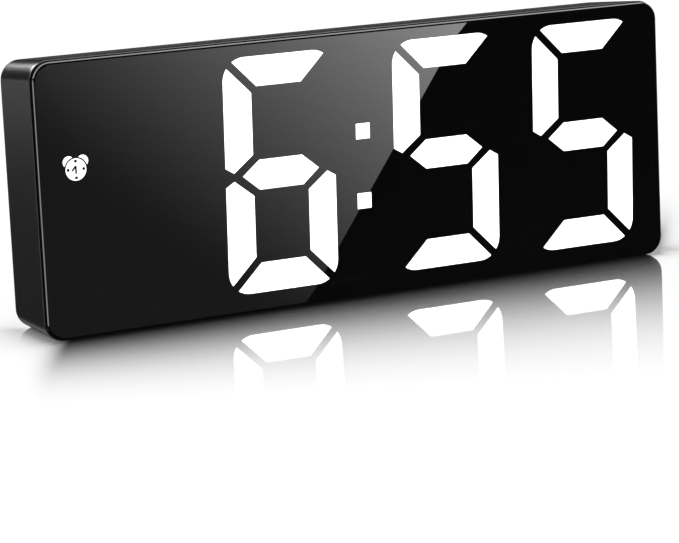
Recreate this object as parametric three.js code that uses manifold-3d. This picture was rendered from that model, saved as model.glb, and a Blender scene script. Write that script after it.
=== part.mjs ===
// Desk alarm clock with a large LED display, battery and USB powered.
// Millimetres, +Z up, front face towards -Y, origin at the centre of the flat base.
import * as THREE from "three";
import { mergeVertices } from "three/addons/utils/BufferGeometryUtils.js";
import Module from "manifold-3d";

const wasm = await Module();
wasm.setup();

// ---- Driving dimensions -------------------------------------------------
const width = 162.5;
const height = 62;
const depth = 22;
const cornerRadius = 4.6;
const wall = 2.0;
const sideDraft = 1.4; // how far each side leans in by the rear edge
const topDraft = 1.5;
const edgeRound = 0.6;
const fitGap = 0.3;
const touchGap = 0.05;
const roundSides = 20;

const frontY = -depth / 2;
const rearY = depth / 2;

const lensThickness = 1.2;
const lensChamfer = 0.5;
const lensInset = 0.15;
const tapeThickness = 0.2;
const housingFrontY = frontY + lensThickness + tapeThickness;
const draftStartY = housingFrontY + edgeRound;
const flangeThickness = 1.4;

const windowHalfWidth = 77.6;
const windowBottom = 2.6;
const windowTop = 59.8;

const frameFrontY = housingFrontY - 0.12;
const boardFrontY = -4.8;
const boardThickness = 1.2;
const boardRearY = boardFrontY + boardThickness;
const pocketDepth = 0.8; // rear pockets of the reflector for the diffusers' webs

const digitWidth = 28.2;
const digitHeight = 53.98;
const digitBottom = 4.62;
const strokeWidth = 7.1;
const digitSlant = 0.021; // sideways lean per millimetre of height
const hourTensX = -60.8;
const hourUnitsX = -22.08;
const minuteTensX = 21.28;
const minuteUnitsX = 59.11;
const colonX = -0.78;
const colonSize = 3.9;
const colonUpperZ = 38.72;
const colonLowerZ = 22.62;
const iconX = -72.2;
const iconZ = 38.1;
const iconRadius = 2.4;

const coverRearY = rearY - 0.6;
const coverThickness = 1.6;
const coverFrontY = coverRearY - coverThickness;

const postX = 75.2;
const postLowZ = 6.2;
const postHighZ = 55.0;
const postRadius = 3.2;

const cellRadius = 5.25;
const cellLength = 44.5;
const cellNubLength = 1.0;
const cellPitch = 10.9;
const cellY = 3.75;
const bay = { x0: -62, x1: -11, y0: -1.6, z0: 14.5, z1: 47.6, wall: 1.2 };
const contactThickness = 0.4;
const springWire = 0.35;
const springTurns = 3;

const doorThickness = 1.2;
const doorRecess = { x0: -63.4, x1: -9.6, z0: 13.1, z1: 49.0 };
const doorHingeZ = 13.25;
const tongueX = [-52, -21];

const buttonZ = 44;
const buttonX = { set: 6, mode: 19, up: 32, down: 45 };
const buttonRadius = 3.5;
const buttonFlangeRadius = 4.6;
const buttonFlangeThickness = 0.9;
const buttonTravel = 0.5;
const tactSize = 6;
const tactHeight = 3.5;
const plungerRadius = 1.7;

const knob = { x: 62.2, z: 44, width: 4.0, height: 2.6, travel: 3.0 };
const usb = { x: 62, z: 15, width: 8.9, height: 3.2, depth: 7.3 };
const buzzer = { x: 30, z: 22, radius: 6, height: 5.5 };
const soundSensor = { x: 48, z: 24, radius: 3, height: 2.7 };

const finishes = {
  case: { color: 0x1b1b1c, roughness: 0.45, metalness: 0 },
  lens: { color: 0x060607, roughness: 0.04, metalness: 0 },
  tape: { color: 0x101010, roughness: 0.9, metalness: 0 },
  reflector: { color: 0x141414, roughness: 0.6, metalness: 0 },
  diffuser: { color: 0xffffff, roughness: 0.5, metalness: 0 },
  board: { color: 0x0f4a2a, roughness: 0.5, metalness: 0 },
  chip: { color: 0x181818, roughness: 0.6, metalness: 0 },
  button: { color: 0x202021, roughness: 0.55, metalness: 0 },
  metal: { color: 0xc9c9c6, roughness: 0.3, metalness: 1 },
  screw: { color: 0x4a4b4d, roughness: 0.35, metalness: 1 },
  cell: { color: 0x3c6f9f, roughness: 0.35, metalness: 0.2 },
  wireRed: { color: 0xb01c1c, roughness: 0.5, metalness: 0 },
  wireBlack: { color: 0x151515, roughness: 0.5, metalness: 0 },
};

// ---- Solids and booleans ------------------------------------------------
function toSolid(geometry) {
  const bare = geometry.clone();
  bare.deleteAttribute("normal");
  bare.deleteAttribute("uv");
  const merged = mergeVertices(bare, 1e-4);
  const vertProperties = new Float32Array(merged.attributes.position.array);
  const triVerts = new Uint32Array(merged.index.array);
  return new wasm.Manifold(new wasm.Mesh({ numProp: 3, vertProperties, triVerts }));
}

function toGeometry(solid) {
  const mesh = solid.getMesh();
  const geometry = new THREE.BufferGeometry();
  geometry.setAttribute("position", new THREE.BufferAttribute(mesh.vertProperties, 3));
  geometry.setIndex(new THREE.BufferAttribute(mesh.triVerts, 1));
  geometry.computeVertexNormals();
  return geometry;
}

function cut(base, ...tools) {
  return tools.reduce((rest, tool) => rest.subtract(toSolid(tool)), toSolid(base));
}

function join(base, ...pieces) {
  return pieces.reduce((whole, piece) => whole.add(toSolid(piece)), toSolid(base));
}

function cutSolid(solid, tools) {
  return tools.reduce((rest, tool) => rest.subtract(toSolid(tool)), solid);
}

// ---- Basic shapes -------------------------------------------------------
function box(x0, x1, y0, y1, z0, z1) {
  const shape = new THREE.BoxGeometry(x1 - x0, y1 - y0, z1 - z0);
  return shape.translate((x0 + x1) / 2, (y0 + y1) / 2, (z0 + z1) / 2);
}

function cylinderY(radius, y0, y1, x, z, sides = roundSides) {
  const shape = new THREE.CylinderGeometry(radius, radius, y1 - y0, sides);
  return shape.translate(x, (y0 + y1) / 2, z);
}

function cylinderX(radius, x0, x1, y, z, sides = roundSides) {
  const shape = new THREE.CylinderGeometry(radius, radius, x1 - x0, sides);
  return shape.rotateZ(Math.PI / 2).translate((x0 + x1) / 2, y, z);
}

function roundedOutline(x0, x1, z0, z1, radius) {
  const outline = new THREE.Shape();
  outline.absarc(x1 - radius, z1 - radius, radius, 0, Math.PI / 2);
  outline.absarc(x0 + radius, z1 - radius, radius, Math.PI / 2, Math.PI);
  outline.absarc(x0 + radius, z0 + radius, radius, Math.PI, Math.PI * 1.5);
  outline.absarc(x1 - radius, z0 + radius, radius, Math.PI * 1.5, Math.PI * 2);
  return outline;
}

// The case's front outline, drawn in by the same distance all round.
function caseOutline(inset) {
  const half = width / 2 - inset;
  return roundedOutline(-half, half, inset, height - inset, Math.max(cornerRadius - inset, 1));
}

// A plate whose outline lies in XZ and whose thickness runs along Y.
function plate(outline, y0, y1, bevel = 0, curveSegments = 6) {
  const settings = {
    depth: y1 - y0 - 2 * bevel,
    bevelEnabled: bevel > 0,
    bevelThickness: bevel,
    bevelSize: bevel,
    bevelOffset: -bevel,
    bevelSegments: 2,
    curveSegments,
  };
  const shape = new THREE.ExtrudeGeometry(outline, settings);
  return shape.rotateX(Math.PI / 2).translate(0, y1 - bevel, 0);
}

// Leans the sides and the top in towards the rear, and leaves the base flat.
function drafted(geometry) {
  const position = geometry.attributes.position;
  for (let i = 0; i < position.count; i += 1) {
    const t = Math.max(0, (position.getY(i) - draftStartY) / (rearY - draftStartY));
    position.setX(i, position.getX(i) * (1 - (sideDraft * t) / (width / 2)));
    position.setZ(i, position.getZ(i) * (1 - (topDraft * t) / height));
  }
  return geometry;
}

function polygonPlate(points, y0, y1) {
  return plate(new THREE.Shape(points.map(([x, z]) => new THREE.Vector2(x, z))), y0, y1);
}

function wire(points, radius) {
  const path = new THREE.CatmullRomCurve3(points.map((point) => new THREE.Vector3(...point)));
  const section = new THREE.Shape();
  section.absarc(0, 0, radius, 0, Math.PI * 2);
  return new THREE.ExtrudeGeometry(section, { extrudePath: path, steps: 14, curveSegments: 4 });
}

// ---- Display segments ---------------------------------------------------
const mirrorX = (points) => points.map(([x, z]) => [digitWidth - x, z]).reverse();
const mirrorZ = (points) => points.map(([x, z]) => [x, digitHeight - z]).reverse();

const middle = digitHeight / 2;
const barTop = [
  [3.1, digitHeight],
  [2.4, digitHeight - 1.1],
  [8.3, digitHeight - strokeWidth],
  [digitWidth - 8.3, digitHeight - strokeWidth],
  [digitWidth - 2.4, digitHeight - 1.1],
  [digitWidth - 3.1, digitHeight],
];
const upperLeft = [
  [1.7, digitHeight - 2.35],
  [0.2, digitHeight - 3.9],
  [0.2, middle + 2.2],
  [2.3, middle + 0.8],
  [7.3, middle + 4.7],
  [7.3, digitHeight - 7.95],
];
const barMiddle = [
  [4.2, middle],
  [7.9, middle - strokeWidth / 2],
  [digitWidth - 7.9, middle - strokeWidth / 2],
  [digitWidth - 4.2, middle],
  [digitWidth - 7.9, middle + strokeWidth / 2],
  [7.9, middle + strokeWidth / 2],
];
const segments = {
  a: barTop,
  b: mirrorX(upperLeft),
  c: mirrorX(mirrorZ(upperLeft)),
  d: mirrorZ(barTop),
  e: mirrorZ(upperLeft),
  f: upperLeft,
  g: barMiddle,
};
const allSegments = ["a", "b", "c", "d", "e", "f", "g"];
const tensSegments = ["a", "b", "c", "d", "e", "g"]; // shows 1 or 2, so it has no f
const digits = {
  hour_tens: { x: hourTensX, shown: tensSegments },
  hour_units: { x: hourUnitsX, shown: allSegments },
  minute_tens: { x: minuteTensX, shown: allSegments },
  minute_units: { x: minuteUnitsX, shown: allSegments },
};

// Moves an outline point a little towards the segment's centre.
function shrink(points, amount) {
  const n = points.length;
  const cx = points.reduce((sum, p) => sum + p[0], 0) / n;
  const cz = points.reduce((sum, p) => sum + p[1], 0) / n;
  return points.map(([x, z]) => [x - amount * Math.sign(x - cx), z - amount * Math.sign(z - cz)]);
}

function segmentPrisms(digit, inset, y0, y1) {
  return digit.shown.map((key) => {
    const local = shrink(segments[key], inset);
    const left = digit.x - digitWidth / 2;
    const placed = local.map(([x, z]) => [x + left + digitSlant * (z - middle), z + digitBottom]);
    return polygonPlate(placed, y0, y1);
  });
}

// The sheet that joins a digit's segments behind the reflector. Where a digit has no
// upper left segment, the sheet is cut away there to make room for the alarm icon.
const webMargin = 1.8;
const webNotchWidth = 9;
function digitWeb(digit, gap, y0, y1) {
  const half = digitWidth / 2 - webMargin + gap;
  const z0 = digitBottom + webMargin - gap;
  const z1 = digitBottom + digitHeight - webMargin + gap;
  const sheet = box(digit.x - half, digit.x + half, y0, y1, z0, z1);
  if (digit.shown.includes("f")) return sheet;
  const notchRight = digit.x - digitWidth / 2 + webNotchWidth - gap;
  const notchLow = digitBottom + middle + 1.5 + gap;
  const notchHigh = digitBottom + digitHeight - strokeWidth - gap;
  const notch = box(digit.x - width, notchRight, y0 - 1, y1 + 1, notchLow, notchHigh);
  return toGeometry(cut(sheet, notch));
}

function colonDots(gap, y0, y1) {
  const half = colonSize / 2 + gap;
  return [colonLowerZ, colonUpperZ].map((z) =>
    box(colonX - half, colonX + half, y0, y1, z - half, z + half)
  );
}

function colonWeb(gap, y0, y1) {
  const z0 = colonLowerZ - 1.5 - gap;
  const z1 = colonUpperZ + 1.5 + gap;
  return box(colonX - 1.5 - gap, colonX + 1.5 + gap, y0, y1, z0, z1);
}

// A small round clock with two bells.
function iconDiscs(gap, y0, y1) {
  const face = cylinderY(iconRadius + gap, y0, y1, iconX, iconZ - 0.4, 24);
  const bells = [-1, 1].map((side) =>
    cylinderY(1.3 + gap, y0, y1, iconX + side * 1.85, iconZ + 1.55, 16)
  );
  return [face, ...bells];
}

// ---- Assembly -----------------------------------------------------------
const clock = new THREE.Group();

function addPart(name, shape, finish) {
  const geometry = shape.isBufferGeometry ? shape : toGeometry(shape);
  const mesh = new THREE.Mesh(geometry, new THREE.MeshStandardMaterial(finishes[finish]));
  mesh.name = name;
  clock.add(mesh);
}

// Case shell: a drafted ring with a narrow front flange and four corner posts.
function makeHousing() {
  const outer = drafted(plate(caseOutline(0), housingFrontY, rearY, edgeRound, 8));
  const cavityFrontY = housingFrontY + flangeThickness;
  const cavity = drafted(plate(caseOutline(wall), cavityFrontY, rearY + 1));
  const opening = roundedOutline(
    -windowHalfWidth, windowHalfWidth, windowBottom, windowTop, cornerRadius - wall
  );
  const window = plate(opening, housingFrontY - 1, cavityFrontY + 1);
  const postFrontY = boardRearY + touchGap;
  const postRearY = coverFrontY - touchGap;
  const posts = [];
  const pilots = [];
  for (const side of [-1, 1]) {
    for (const z of [postLowZ, postHighZ]) {
      posts.push(cylinderY(postRadius, postFrontY, postRearY, side * postX, z));
      const ribX = [side * postX, side * (windowHalfWidth + 1.4)].sort((a, b) => a - b);
      posts.push(box(ribX[0], ribX[1], postFrontY, postRearY, z - 1.3, z + 1.3));
      pilots.push(cylinderY(1.1, 0, rearY, side * postX, z, 12));
    }
  }
  let shell = cut(outer, cavity, window);
  shell = posts.reduce((whole, post) => whole.add(toSolid(post)), shell);
  return cutSolid(shell, pilots);
}

// Front lens: a flat smoked sheet with a polished chamfer round its front edge.
function makeLens() {
  const rearFace = frontY + lensThickness;
  const blank = plate(caseOutline(lensInset), frontY, rearFace + 1, lensChamfer, 8);
  return cut(blank, box(-width, width, rearFace, rearFace + 5, -height, 2 * height));
}

function makeTape() {
  const y0 = frontY + lensThickness + touchGap;
  const y1 = housingFrontY - touchGap;
  const opening = roundedOutline(
    -windowHalfWidth, windowHalfWidth, windowBottom, windowTop, cornerRadius - wall
  );
  return cut(plate(caseOutline(0.6), y0, y1), plate(opening, y0 - 1, y1 + 1));
}

const boardScrewSpots = [
  [-41.6, 53], [-3.5, 9.5], [-3.5, 51], [40.2, 31],
];

function makeReflector() {
  const outline = roundedOutline(
    -windowHalfWidth + fitGap, windowHalfWidth - fitGap,
    windowBottom + fitGap, windowTop - fitGap, cornerRadius - wall
  );
  const rear = boardFrontY - touchGap;
  const y0 = frameFrontY - 1;
  const y1 = rear + 1;
  const tools = Object.values(digits).flatMap((digit) => [
    ...segmentPrisms(digit, 0, y0, y1),
    digitWeb(digit, fitGap, rear - pocketDepth, y1),
  ]);
  tools.push(...colonDots(0, y0, y1), colonWeb(fitGap, rear - pocketDepth, y1));
  tools.push(...iconDiscs(0, y0, y1));
  for (const [x, z] of boardScrewSpots) {
    tools.push(cylinderY(0.85, rear - 3, y1, x, z, 10));
  }
  return cut(plate(outline, frameFrontY, rear), ...tools);
}

const diffuserGap = 0.06;
function makeDigitDiffuser(digit) {
  const rear = boardFrontY - 2 * touchGap;
  const webFront = boardFrontY - touchGap - pocketDepth + touchGap;
  const prisms = segmentPrisms(digit, diffuserGap, frameFrontY, rear);
  return join(digitWeb(digit, 0, webFront, rear), ...prisms);
}

function makeColonDiffuser() {
  const rear = boardFrontY - 2 * touchGap;
  const webFront = boardFrontY - pocketDepth;
  return join(colonWeb(0, webFront, rear), ...colonDots(-diffuserGap, frameFrontY, rear));
}

function makeIconDiffuser() {
  return join(...iconDiscs(-diffuserGap, frameFrontY, boardFrontY - 2 * touchGap));
}

function makeBoard() {
  const outline = roundedOutline(
    -windowHalfWidth + fitGap, windowHalfWidth - fitGap,
    windowBottom + fitGap, windowTop - fitGap, cornerRadius - wall
  );
  const holes = boardScrewSpots.map(([x, z]) =>
    cylinderY(0.95, boardFrontY - 1, boardRearY + 1, x, z, 10)
  );
  return cut(plate(outline, boardFrontY, boardRearY), ...holes);
}

function makeScrew(x, z, headY, headRadius, headHeight, shankRadius, shankLength) {
  const head = cylinderY(headRadius, headY - headHeight, headY, x, z, 16);
  const shank = cylinderY(shankRadius, headY - headHeight - shankLength, headY - headHeight + 0.1, x, z, 12);
  const slotDepth = headY - headHeight * 0.5;
  const recess = [
    box(x - headRadius * 0.6, x + headRadius * 0.6, slotDepth, headY + 1, z - 0.25, z + 0.25),
    box(x - 0.25, x + 0.25, slotDepth, headY + 1, z - headRadius * 0.6, z + headRadius * 0.6),
  ];
  return cutSolid(join(head, shank), recess);
}

// Rear cover with its battery bay, door recess and openings for the controls.
const coverScrewHeadRadius = 2.1;
const coverScrewHeadHeight = 0.9;
function makeCover() {
  const panel = drafted(plate(caseOutline(wall + fitGap), coverFrontY, coverRearY));
  const tray = box(
    bay.x0 - bay.wall, bay.x1 + bay.wall, bay.y0 - 1, coverFrontY + 0.2,
    bay.z0 - bay.wall, bay.z1 + bay.wall
  );
  const past = rearY + 1;
  const recessFloor = coverRearY - doorThickness - touchGap;
  const tools = [
    box(bay.x0, bay.x1, bay.y0, past, bay.z0, bay.z1),
    box(doorRecess.x0, doorRecess.x1, recessFloor, past, doorRecess.z0, doorRecess.z1),
    box(-41, -32, coverRearY - 0.7, past, doorRecess.z1 - 1, doorRecess.z1 + 3),
    box(
      knob.x - knob.width / 2 - fitGap, knob.x + knob.width / 2 + knob.travel + fitGap,
      coverFrontY - 1, past, knob.z - knob.height / 2 - fitGap, knob.z + knob.height / 2 + fitGap
    ),
    plate(
      roundedOutline(
        usb.x - usb.width / 2 - fitGap, usb.x + usb.width / 2 + fitGap,
        usb.z - usb.height / 2 - fitGap, usb.z + usb.height / 2 + fitGap, 1.7
      ),
      coverFrontY - 1, past
    ),
    cylinderY(0.8, coverFrontY - 1, past, soundSensor.x, soundSensor.z, 12),
    cylinderY(0.8, coverFrontY - 1, past, buzzer.x, buzzer.z, 12),
  ];
  for (const x of tongueX) {
    tools.push(box(x - 3.3, x + 3.3, 6, recessFloor + 0.01, doorRecess.z0 - 2, bay.z0 + 1.5));
  }
  for (const x of Object.values(buttonX)) {
    tools.push(cylinderY(buttonRadius + fitGap, coverFrontY - 1, past, x, buttonZ));
  }
  const soundHoles = 6;
  for (let i = 0; i < soundHoles; i += 1) {
    const angle = (i * Math.PI * 2) / soundHoles;
    const x = buzzer.x + 3 * Math.cos(angle);
    tools.push(cylinderY(0.8, coverFrontY - 1, past, x, buzzer.z + 3 * Math.sin(angle), 12));
  }
  for (const side of [-1, 1]) {
    for (const z of [postLowZ, postHighZ]) {
      tools.push(cylinderY(1.3, coverFrontY - 1, past, side * postX, z, 12));
      const headSeat = coverRearY - coverScrewHeadHeight - 0.1;
      tools.push(cylinderY(coverScrewHeadRadius + 0.2, headSeat, past, side * postX, z));
    }
  }
  return cutSolid(join(panel, tray), tools);
}

// Battery door: flush plate, two tongues at its lower edge, latch tab at its upper edge.
function makeDoor() {
  const y0 = coverRearY - doorThickness;
  const z0 = doorRecess.z0 + fitGap;
  const z1 = doorRecess.z1 - fitGap;
  const panel = box(doorRecess.x0 + fitGap, doorRecess.x1 - fitGap, y0, coverRearY, z0, z1);
  const tongues = tongueX.flatMap((x) => [
    box(x - 2.5, x + 2.5, y0 - 1.3, y0 + 0.1, z0 + 0.3, z0 + 1.3),
    box(x - 2.5, x + 2.5, y0 - 1.3, y0 - 0.7, z0 - 1.3, z0 + 0.4),
  ]);
  const grips = [0, 1, 2].map((i) =>
    box(-41, -32, coverRearY - 0.4, coverRearY + 1, z1 - 3 - 1.4 * i, z1 - 2.4 - 1.4 * i)
  );
  return cutSolid(join(panel, ...tongues), grips);
}

// An AAA cell lying along X; its positive nub points towards `facing`.
function makeCell(z, facing) {
  const body = cellLength - cellNubLength;
  const profile = [
    [0, 0], [3.6, 0], [4.6, 0.15], [cellRadius, 0.6], [cellRadius, body - 0.6],
    [4.7, body], [1.9, body], [1.9, cellLength], [0, cellLength],
  ];
  const shape = new THREE.LatheGeometry(profile.map(([x, y]) => new THREE.Vector2(x, y)), 24);
  shape.rotateZ((-facing * Math.PI) / 2);
  const tip = facing > 0 ? bay.x1 - contactThickness - 0.2 : bay.x0 + contactThickness + 0.2;
  return shape.translate(tip - facing * cellLength, cellY, z);
}

function contactSpan(end) {
  const inner = end > 0 ? bay.x1 : bay.x0;
  const faces = [inner - end * 0.05, inner - end * (0.05 + contactThickness)];
  return faces.sort((a, b) => a - b);
}

function makeContact(end, zLow, zHigh) {
  const [x0, x1] = contactSpan(end);
  return box(x0, x1, cellY - 3.6, cellY + 3.6, zLow - 3.6, zHigh + 3.6);
}

// Conical coil spring from the contact plate to the cell's flat end.
class ConeHelix extends THREE.Curve {
  constructor(x0, x1, z) {
    super();
    this.x0 = x0;
    this.x1 = x1;
    this.z = z;
  }

  getPoint(t, target = new THREE.Vector3()) {
    const angle = t * springTurns * Math.PI * 2;
    const radius = 3.4 - 1.2 * t;
    const x = this.x0 + (this.x1 - this.x0) * t;
    return target.set(x, cellY + radius * Math.cos(angle), this.z + radius * Math.sin(angle));
  }
}

function makeSpring(end, z) {
  const [near, far] = contactSpan(end);
  const plateFace = end > 0 ? near : far;
  const x0 = plateFace - end * (springWire + 0.25);
  const tipGap = bay.x1 - bay.x0 - 2 * (contactThickness + 0.2) - cellLength;
  const x1 = plateFace - end * (tipGap - springWire - 0.2);
  const section = new THREE.Shape();
  section.absarc(0, 0, springWire, 0, Math.PI * 2);
  const settings = { extrudePath: new ConeHelix(x0, x1, z), steps: 42, curveSegments: 3 };
  return new THREE.ExtrudeGeometry(section, settings);
}

// Push button: round cap with a retaining flange and a stem that meets the switch.
function makeButton(x) {
  const flangeRear = coverFrontY - fitGap;
  const flangeFront = flangeRear - buttonFlangeThickness;
  return join(
    plate(circleOutline(x, buttonZ, buttonRadius), flangeRear - 0.1, rearY, 0.35, 6),
    cylinderY(buttonFlangeRadius, flangeFront, flangeRear, x, buttonZ, 24),
    cylinderY(1.5, 4.9, flangeFront + 0.1, x, buttonZ, 12)
  );
}

function circleOutline(x, z, radius) {
  const outline = new THREE.Shape();
  outline.absarc(x, z, radius, 0, Math.PI * 2);
  return outline;
}

const onBoard = boardRearY + touchGap;
function makeTactSwitch(x) {
  const half = tactSize / 2;
  const body = box(x - half, x + half, onBoard, onBoard + tactHeight, buttonZ - half, buttonZ + half);
  const bore = cylinderY(plungerRadius + 0.2, onBoard + tactHeight - 1.4, onBoard + 9, x, buttonZ, 16);
  return cut(body, bore);
}

function makePlunger(x) {
  const y0 = onBoard + tactHeight - 1.4 + buttonTravel + 0.2;
  return cylinderY(plungerRadius, y0, 4.85, x, buttonZ, 16);
}

function makeSlideBody() {
  const x = knob.x + knob.travel / 2;
  const body = box(x - 6.5, x + 6.5, onBoard, onBoard + 4, knob.z - 3, knob.z + 3);
  const track = box(x - 3.2, x + 3.2, onBoard + 2.4, onBoard + 9, knob.z - 1.3, knob.z + 1.3);
  return cut(body, track);
}

function makeKnob() {
  const half = knob.width / 2;
  const tall = knob.height / 2;
  const ridges = [-1.2, 0, 1.2].map((dx) =>
    box(knob.x + dx - 0.25, knob.x + dx + 0.25, rearY - 0.5, rearY + 1, knob.z - 2, knob.z + 2)
  );
  const whole = join(
    box(knob.x - half, knob.x + half, 7.4, rearY - 0.1, knob.z - tall, knob.z + tall),
    box(knob.x - half - 2.6, knob.x + half + 2.6, 7.4, 8.4, knob.z - 3, knob.z + 3),
    box(knob.x - 1, knob.x + 1, onBoard + 2.6, 7.5, knob.z - 1, knob.z + 1)
  );
  return cutSolid(whole, ridges);
}

function makeUsbSocket() {
  const y1 = coverRearY - 0.5;
  const half = usb.width / 2;
  const tall = usb.height / 2;
  const shell = plate(
    roundedOutline(usb.x - half, usb.x + half, usb.z - tall, usb.z + tall, 1.5), y1 - usb.depth, y1
  );
  const mouth = plate(
    roundedOutline(
      usb.x - half + 0.35, usb.x + half - 0.35, usb.z - tall + 0.35, usb.z + tall - 0.35, 1.2
    ),
    y1 - usb.depth + 1, y1 + 1
  );
  return cut(shell, mouth);
}

function makeUsbTongue() {
  const y1 = coverRearY - 0.5;
  return box(usb.x - 3.3, usb.x + 3.3, y1 - usb.depth + 1.1, y1 - 0.8, usb.z - 0.35, usb.z + 0.35);
}

const powerBoardTop = usb.z - usb.height / 2 - touchGap;
function makePowerBoard() {
  return box(usb.x - 8, usb.x + 8, -1, coverFrontY - 0.2, powerBoardTop - 1.2, powerBoardTop);
}

function makeBuzzer() {
  const y1 = onBoard + buzzer.height;
  const body = cylinderY(buzzer.radius, onBoard, y1, buzzer.x, buzzer.z, 24);
  return cut(body, cylinderY(1, y1 - 1, y1 + 1, buzzer.x, buzzer.z, 12));
}

addPart("front_housing", makeHousing(), "case");
addPart("front_lens", makeLens(), "lens");
addPart("lens_tape", makeTape(), "tape");
addPart("reflector_frame", makeReflector(), "reflector");
for (const [name, digit] of Object.entries(digits)) {
  addPart(`diffuser_${name}`, makeDigitDiffuser(digit), "diffuser");
}
addPart("diffuser_colon", makeColonDiffuser(), "diffuser");
addPart("diffuser_alarm_icon", makeIconDiffuser(), "diffuser");

addPart("display_board", makeBoard(), "board");
boardScrewSpots.forEach(([x, z], i) => {
  const screw = makeScrew(x, z, onBoard + 1.2, 1.5, 1.2, 0.75, 3.4);
  addPart(`board_screw_${i + 1}`, screw, "screw");
});
addPart("clock_chip", box(-2, 11, onBoard, onBoard + 2, 16, 23.5), "chip");
addPart("led_driver_chip", box(-1, 9, onBoard, onBoard + 1.6, 28, 32), "chip");
addPart("crystal", cylinderX(1.5, 0, 8, onBoard + 1.55, 12, 14), "metal");
addPart("filter_capacitor", cylinderX(2.5, 14, 21, onBoard + 2.55, 31, 18), "chip");
addPart("buzzer", makeBuzzer(), "chip");
addPart("sound_sensor", cylinderY(
  soundSensor.radius, onBoard, onBoard + soundSensor.height, soundSensor.x, soundSensor.z, 18
), "metal");

for (const [name, x] of Object.entries(buttonX)) {
  addPart(`button_${name}`, makeButton(x), "button");
  addPart(`tact_switch_${name}`, makeTactSwitch(x), "chip");
  addPart(`tact_plunger_${name}`, makePlunger(x), "button");
}
addPart("slide_switch_body", makeSlideBody(), "metal");
addPart("slide_switch_knob", makeKnob(), "button");

addPart("power_board", makePowerBoard(), "board");
addPart("usb_socket", makeUsbSocket(), "metal");
addPart("usb_tongue", makeUsbTongue(), "chip");

addPart("rear_cover", makeCover(), "case");
addPart("battery_door", makeDoor(), "case");
let screwNumber = 1;
for (const side of [-1, 1]) {
  for (const z of [postLowZ, postHighZ]) {
    const headY = coverRearY - 0.05;
    const screw = makeScrew(
      side * postX, z, headY, coverScrewHeadRadius, coverScrewHeadHeight, 1.0, 6
    );
    addPart(`cover_screw_${screwNumber}`, screw, "screw");
    screwNumber += 1;
  }
}

const cellZ = [0, 1, 2].map((i) => (bay.z0 + bay.z1) / 2 + (i - 1) * cellPitch);
const cellFacing = [1, -1, 1];
cellZ.forEach((z, i) => {
  addPart(`battery_cell_${i + 1}`, makeCell(z, cellFacing[i]), "cell");
  addPart(`contact_spring_${i + 1}`, makeSpring(-cellFacing[i], z), "metal");
});
addPart("contact_negative", makeContact(-1, cellZ[0], cellZ[0]), "metal");
addPart("contact_bridge_low", makeContact(1, cellZ[0], cellZ[1]), "metal");
addPart("contact_bridge_high", makeContact(-1, cellZ[1], cellZ[2]), "metal");
addPart("contact_positive", makeContact(1, cellZ[2], cellZ[2]), "metal");

const wireRadius = 0.6;
const bayWallX = bay.x1 + bay.wall + 0.2;
const batteryWire = (z) => [
  [bayWallX, 5, z],
  [bayWallX + 2.2, 4.6, z],
  [bayWallX + 3.4, 2, z],
  [bayWallX + 3.4, -1, z],
  [bayWallX + 3.4, onBoard + 0.15, z],
];
const powerWire = (dx) => [
  [usb.x + dx, 0.3, powerBoardTop + 0.15],
  [usb.x + dx, 0.3, powerBoardTop + 1.8],
  [usb.x + dx, -0.8, powerBoardTop + 3.6],
  [usb.x + dx, -2.2, powerBoardTop + 4],
  [usb.x + dx, onBoard + 0.15, powerBoardTop + 4],
];
addPart("battery_wire_red", wire(batteryWire(40), wireRadius), "wireRed");
addPart("battery_wire_black", wire(batteryWire(36), wireRadius), "wireBlack");
addPart("power_wire_red", wire(powerWire(-3), wireRadius), "wireRed");
addPart("power_wire_black", wire(powerWire(3), wireRadius), "wireBlack");

export default clock;
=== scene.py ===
import math
import bmesh
import bpy
import numpy as np
from mathutils import Matrix, Vector
from mathutils.geometry import delaunay_2d_cdt


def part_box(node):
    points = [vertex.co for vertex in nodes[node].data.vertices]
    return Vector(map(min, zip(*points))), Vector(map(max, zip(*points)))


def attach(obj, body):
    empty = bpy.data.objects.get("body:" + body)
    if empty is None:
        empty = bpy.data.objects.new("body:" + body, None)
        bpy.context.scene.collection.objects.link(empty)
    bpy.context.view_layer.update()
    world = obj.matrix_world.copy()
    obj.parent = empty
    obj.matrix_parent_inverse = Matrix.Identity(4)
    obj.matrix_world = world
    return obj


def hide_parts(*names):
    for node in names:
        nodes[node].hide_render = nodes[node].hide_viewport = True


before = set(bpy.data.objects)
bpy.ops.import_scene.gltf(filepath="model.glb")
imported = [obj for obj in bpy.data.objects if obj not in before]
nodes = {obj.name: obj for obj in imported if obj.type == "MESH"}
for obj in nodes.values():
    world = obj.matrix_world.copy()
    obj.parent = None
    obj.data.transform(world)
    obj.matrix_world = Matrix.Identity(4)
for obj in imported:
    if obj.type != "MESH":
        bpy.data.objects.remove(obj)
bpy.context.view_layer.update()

mm = 0.001
leastRound = 0.02  # mm: no rounded corner closes to a point
weld = dict(doubles=2e-7, collapsed=1e-8, joinDegrees=0.5, bevelDegrees=32, flatWeight=80)
scene = bpy.context.scene


def roundedRect(x0, x1, z0, z1, radius, steps=10):
    # four quarter arcs joined by straight sides, anticlockwise seen from the front; outlines lie in the
    # XZ plane in millimetres, and inset moves them inwards
    def outline(inset=0.0):
        r = max(radius - inset, leastRound)
        turn = np.linspace(0, math.pi / 2, steps + 1)
        centres = [(x1 - inset - r, z1 - inset - r, 0), (x0 + inset + r, z1 - inset - r, 1),
                   (x0 + inset + r, z0 + inset + r, 2), (x1 - inset - r, z0 + inset + r, 3)]
        arcs = [np.stack([cx + r * np.cos(turn + q * math.pi / 2),
                          cz + r * np.sin(turn + q * math.pi / 2)], 1) for cx, cz, q in centres]
        return np.concatenate(arcs)
    return outline


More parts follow.
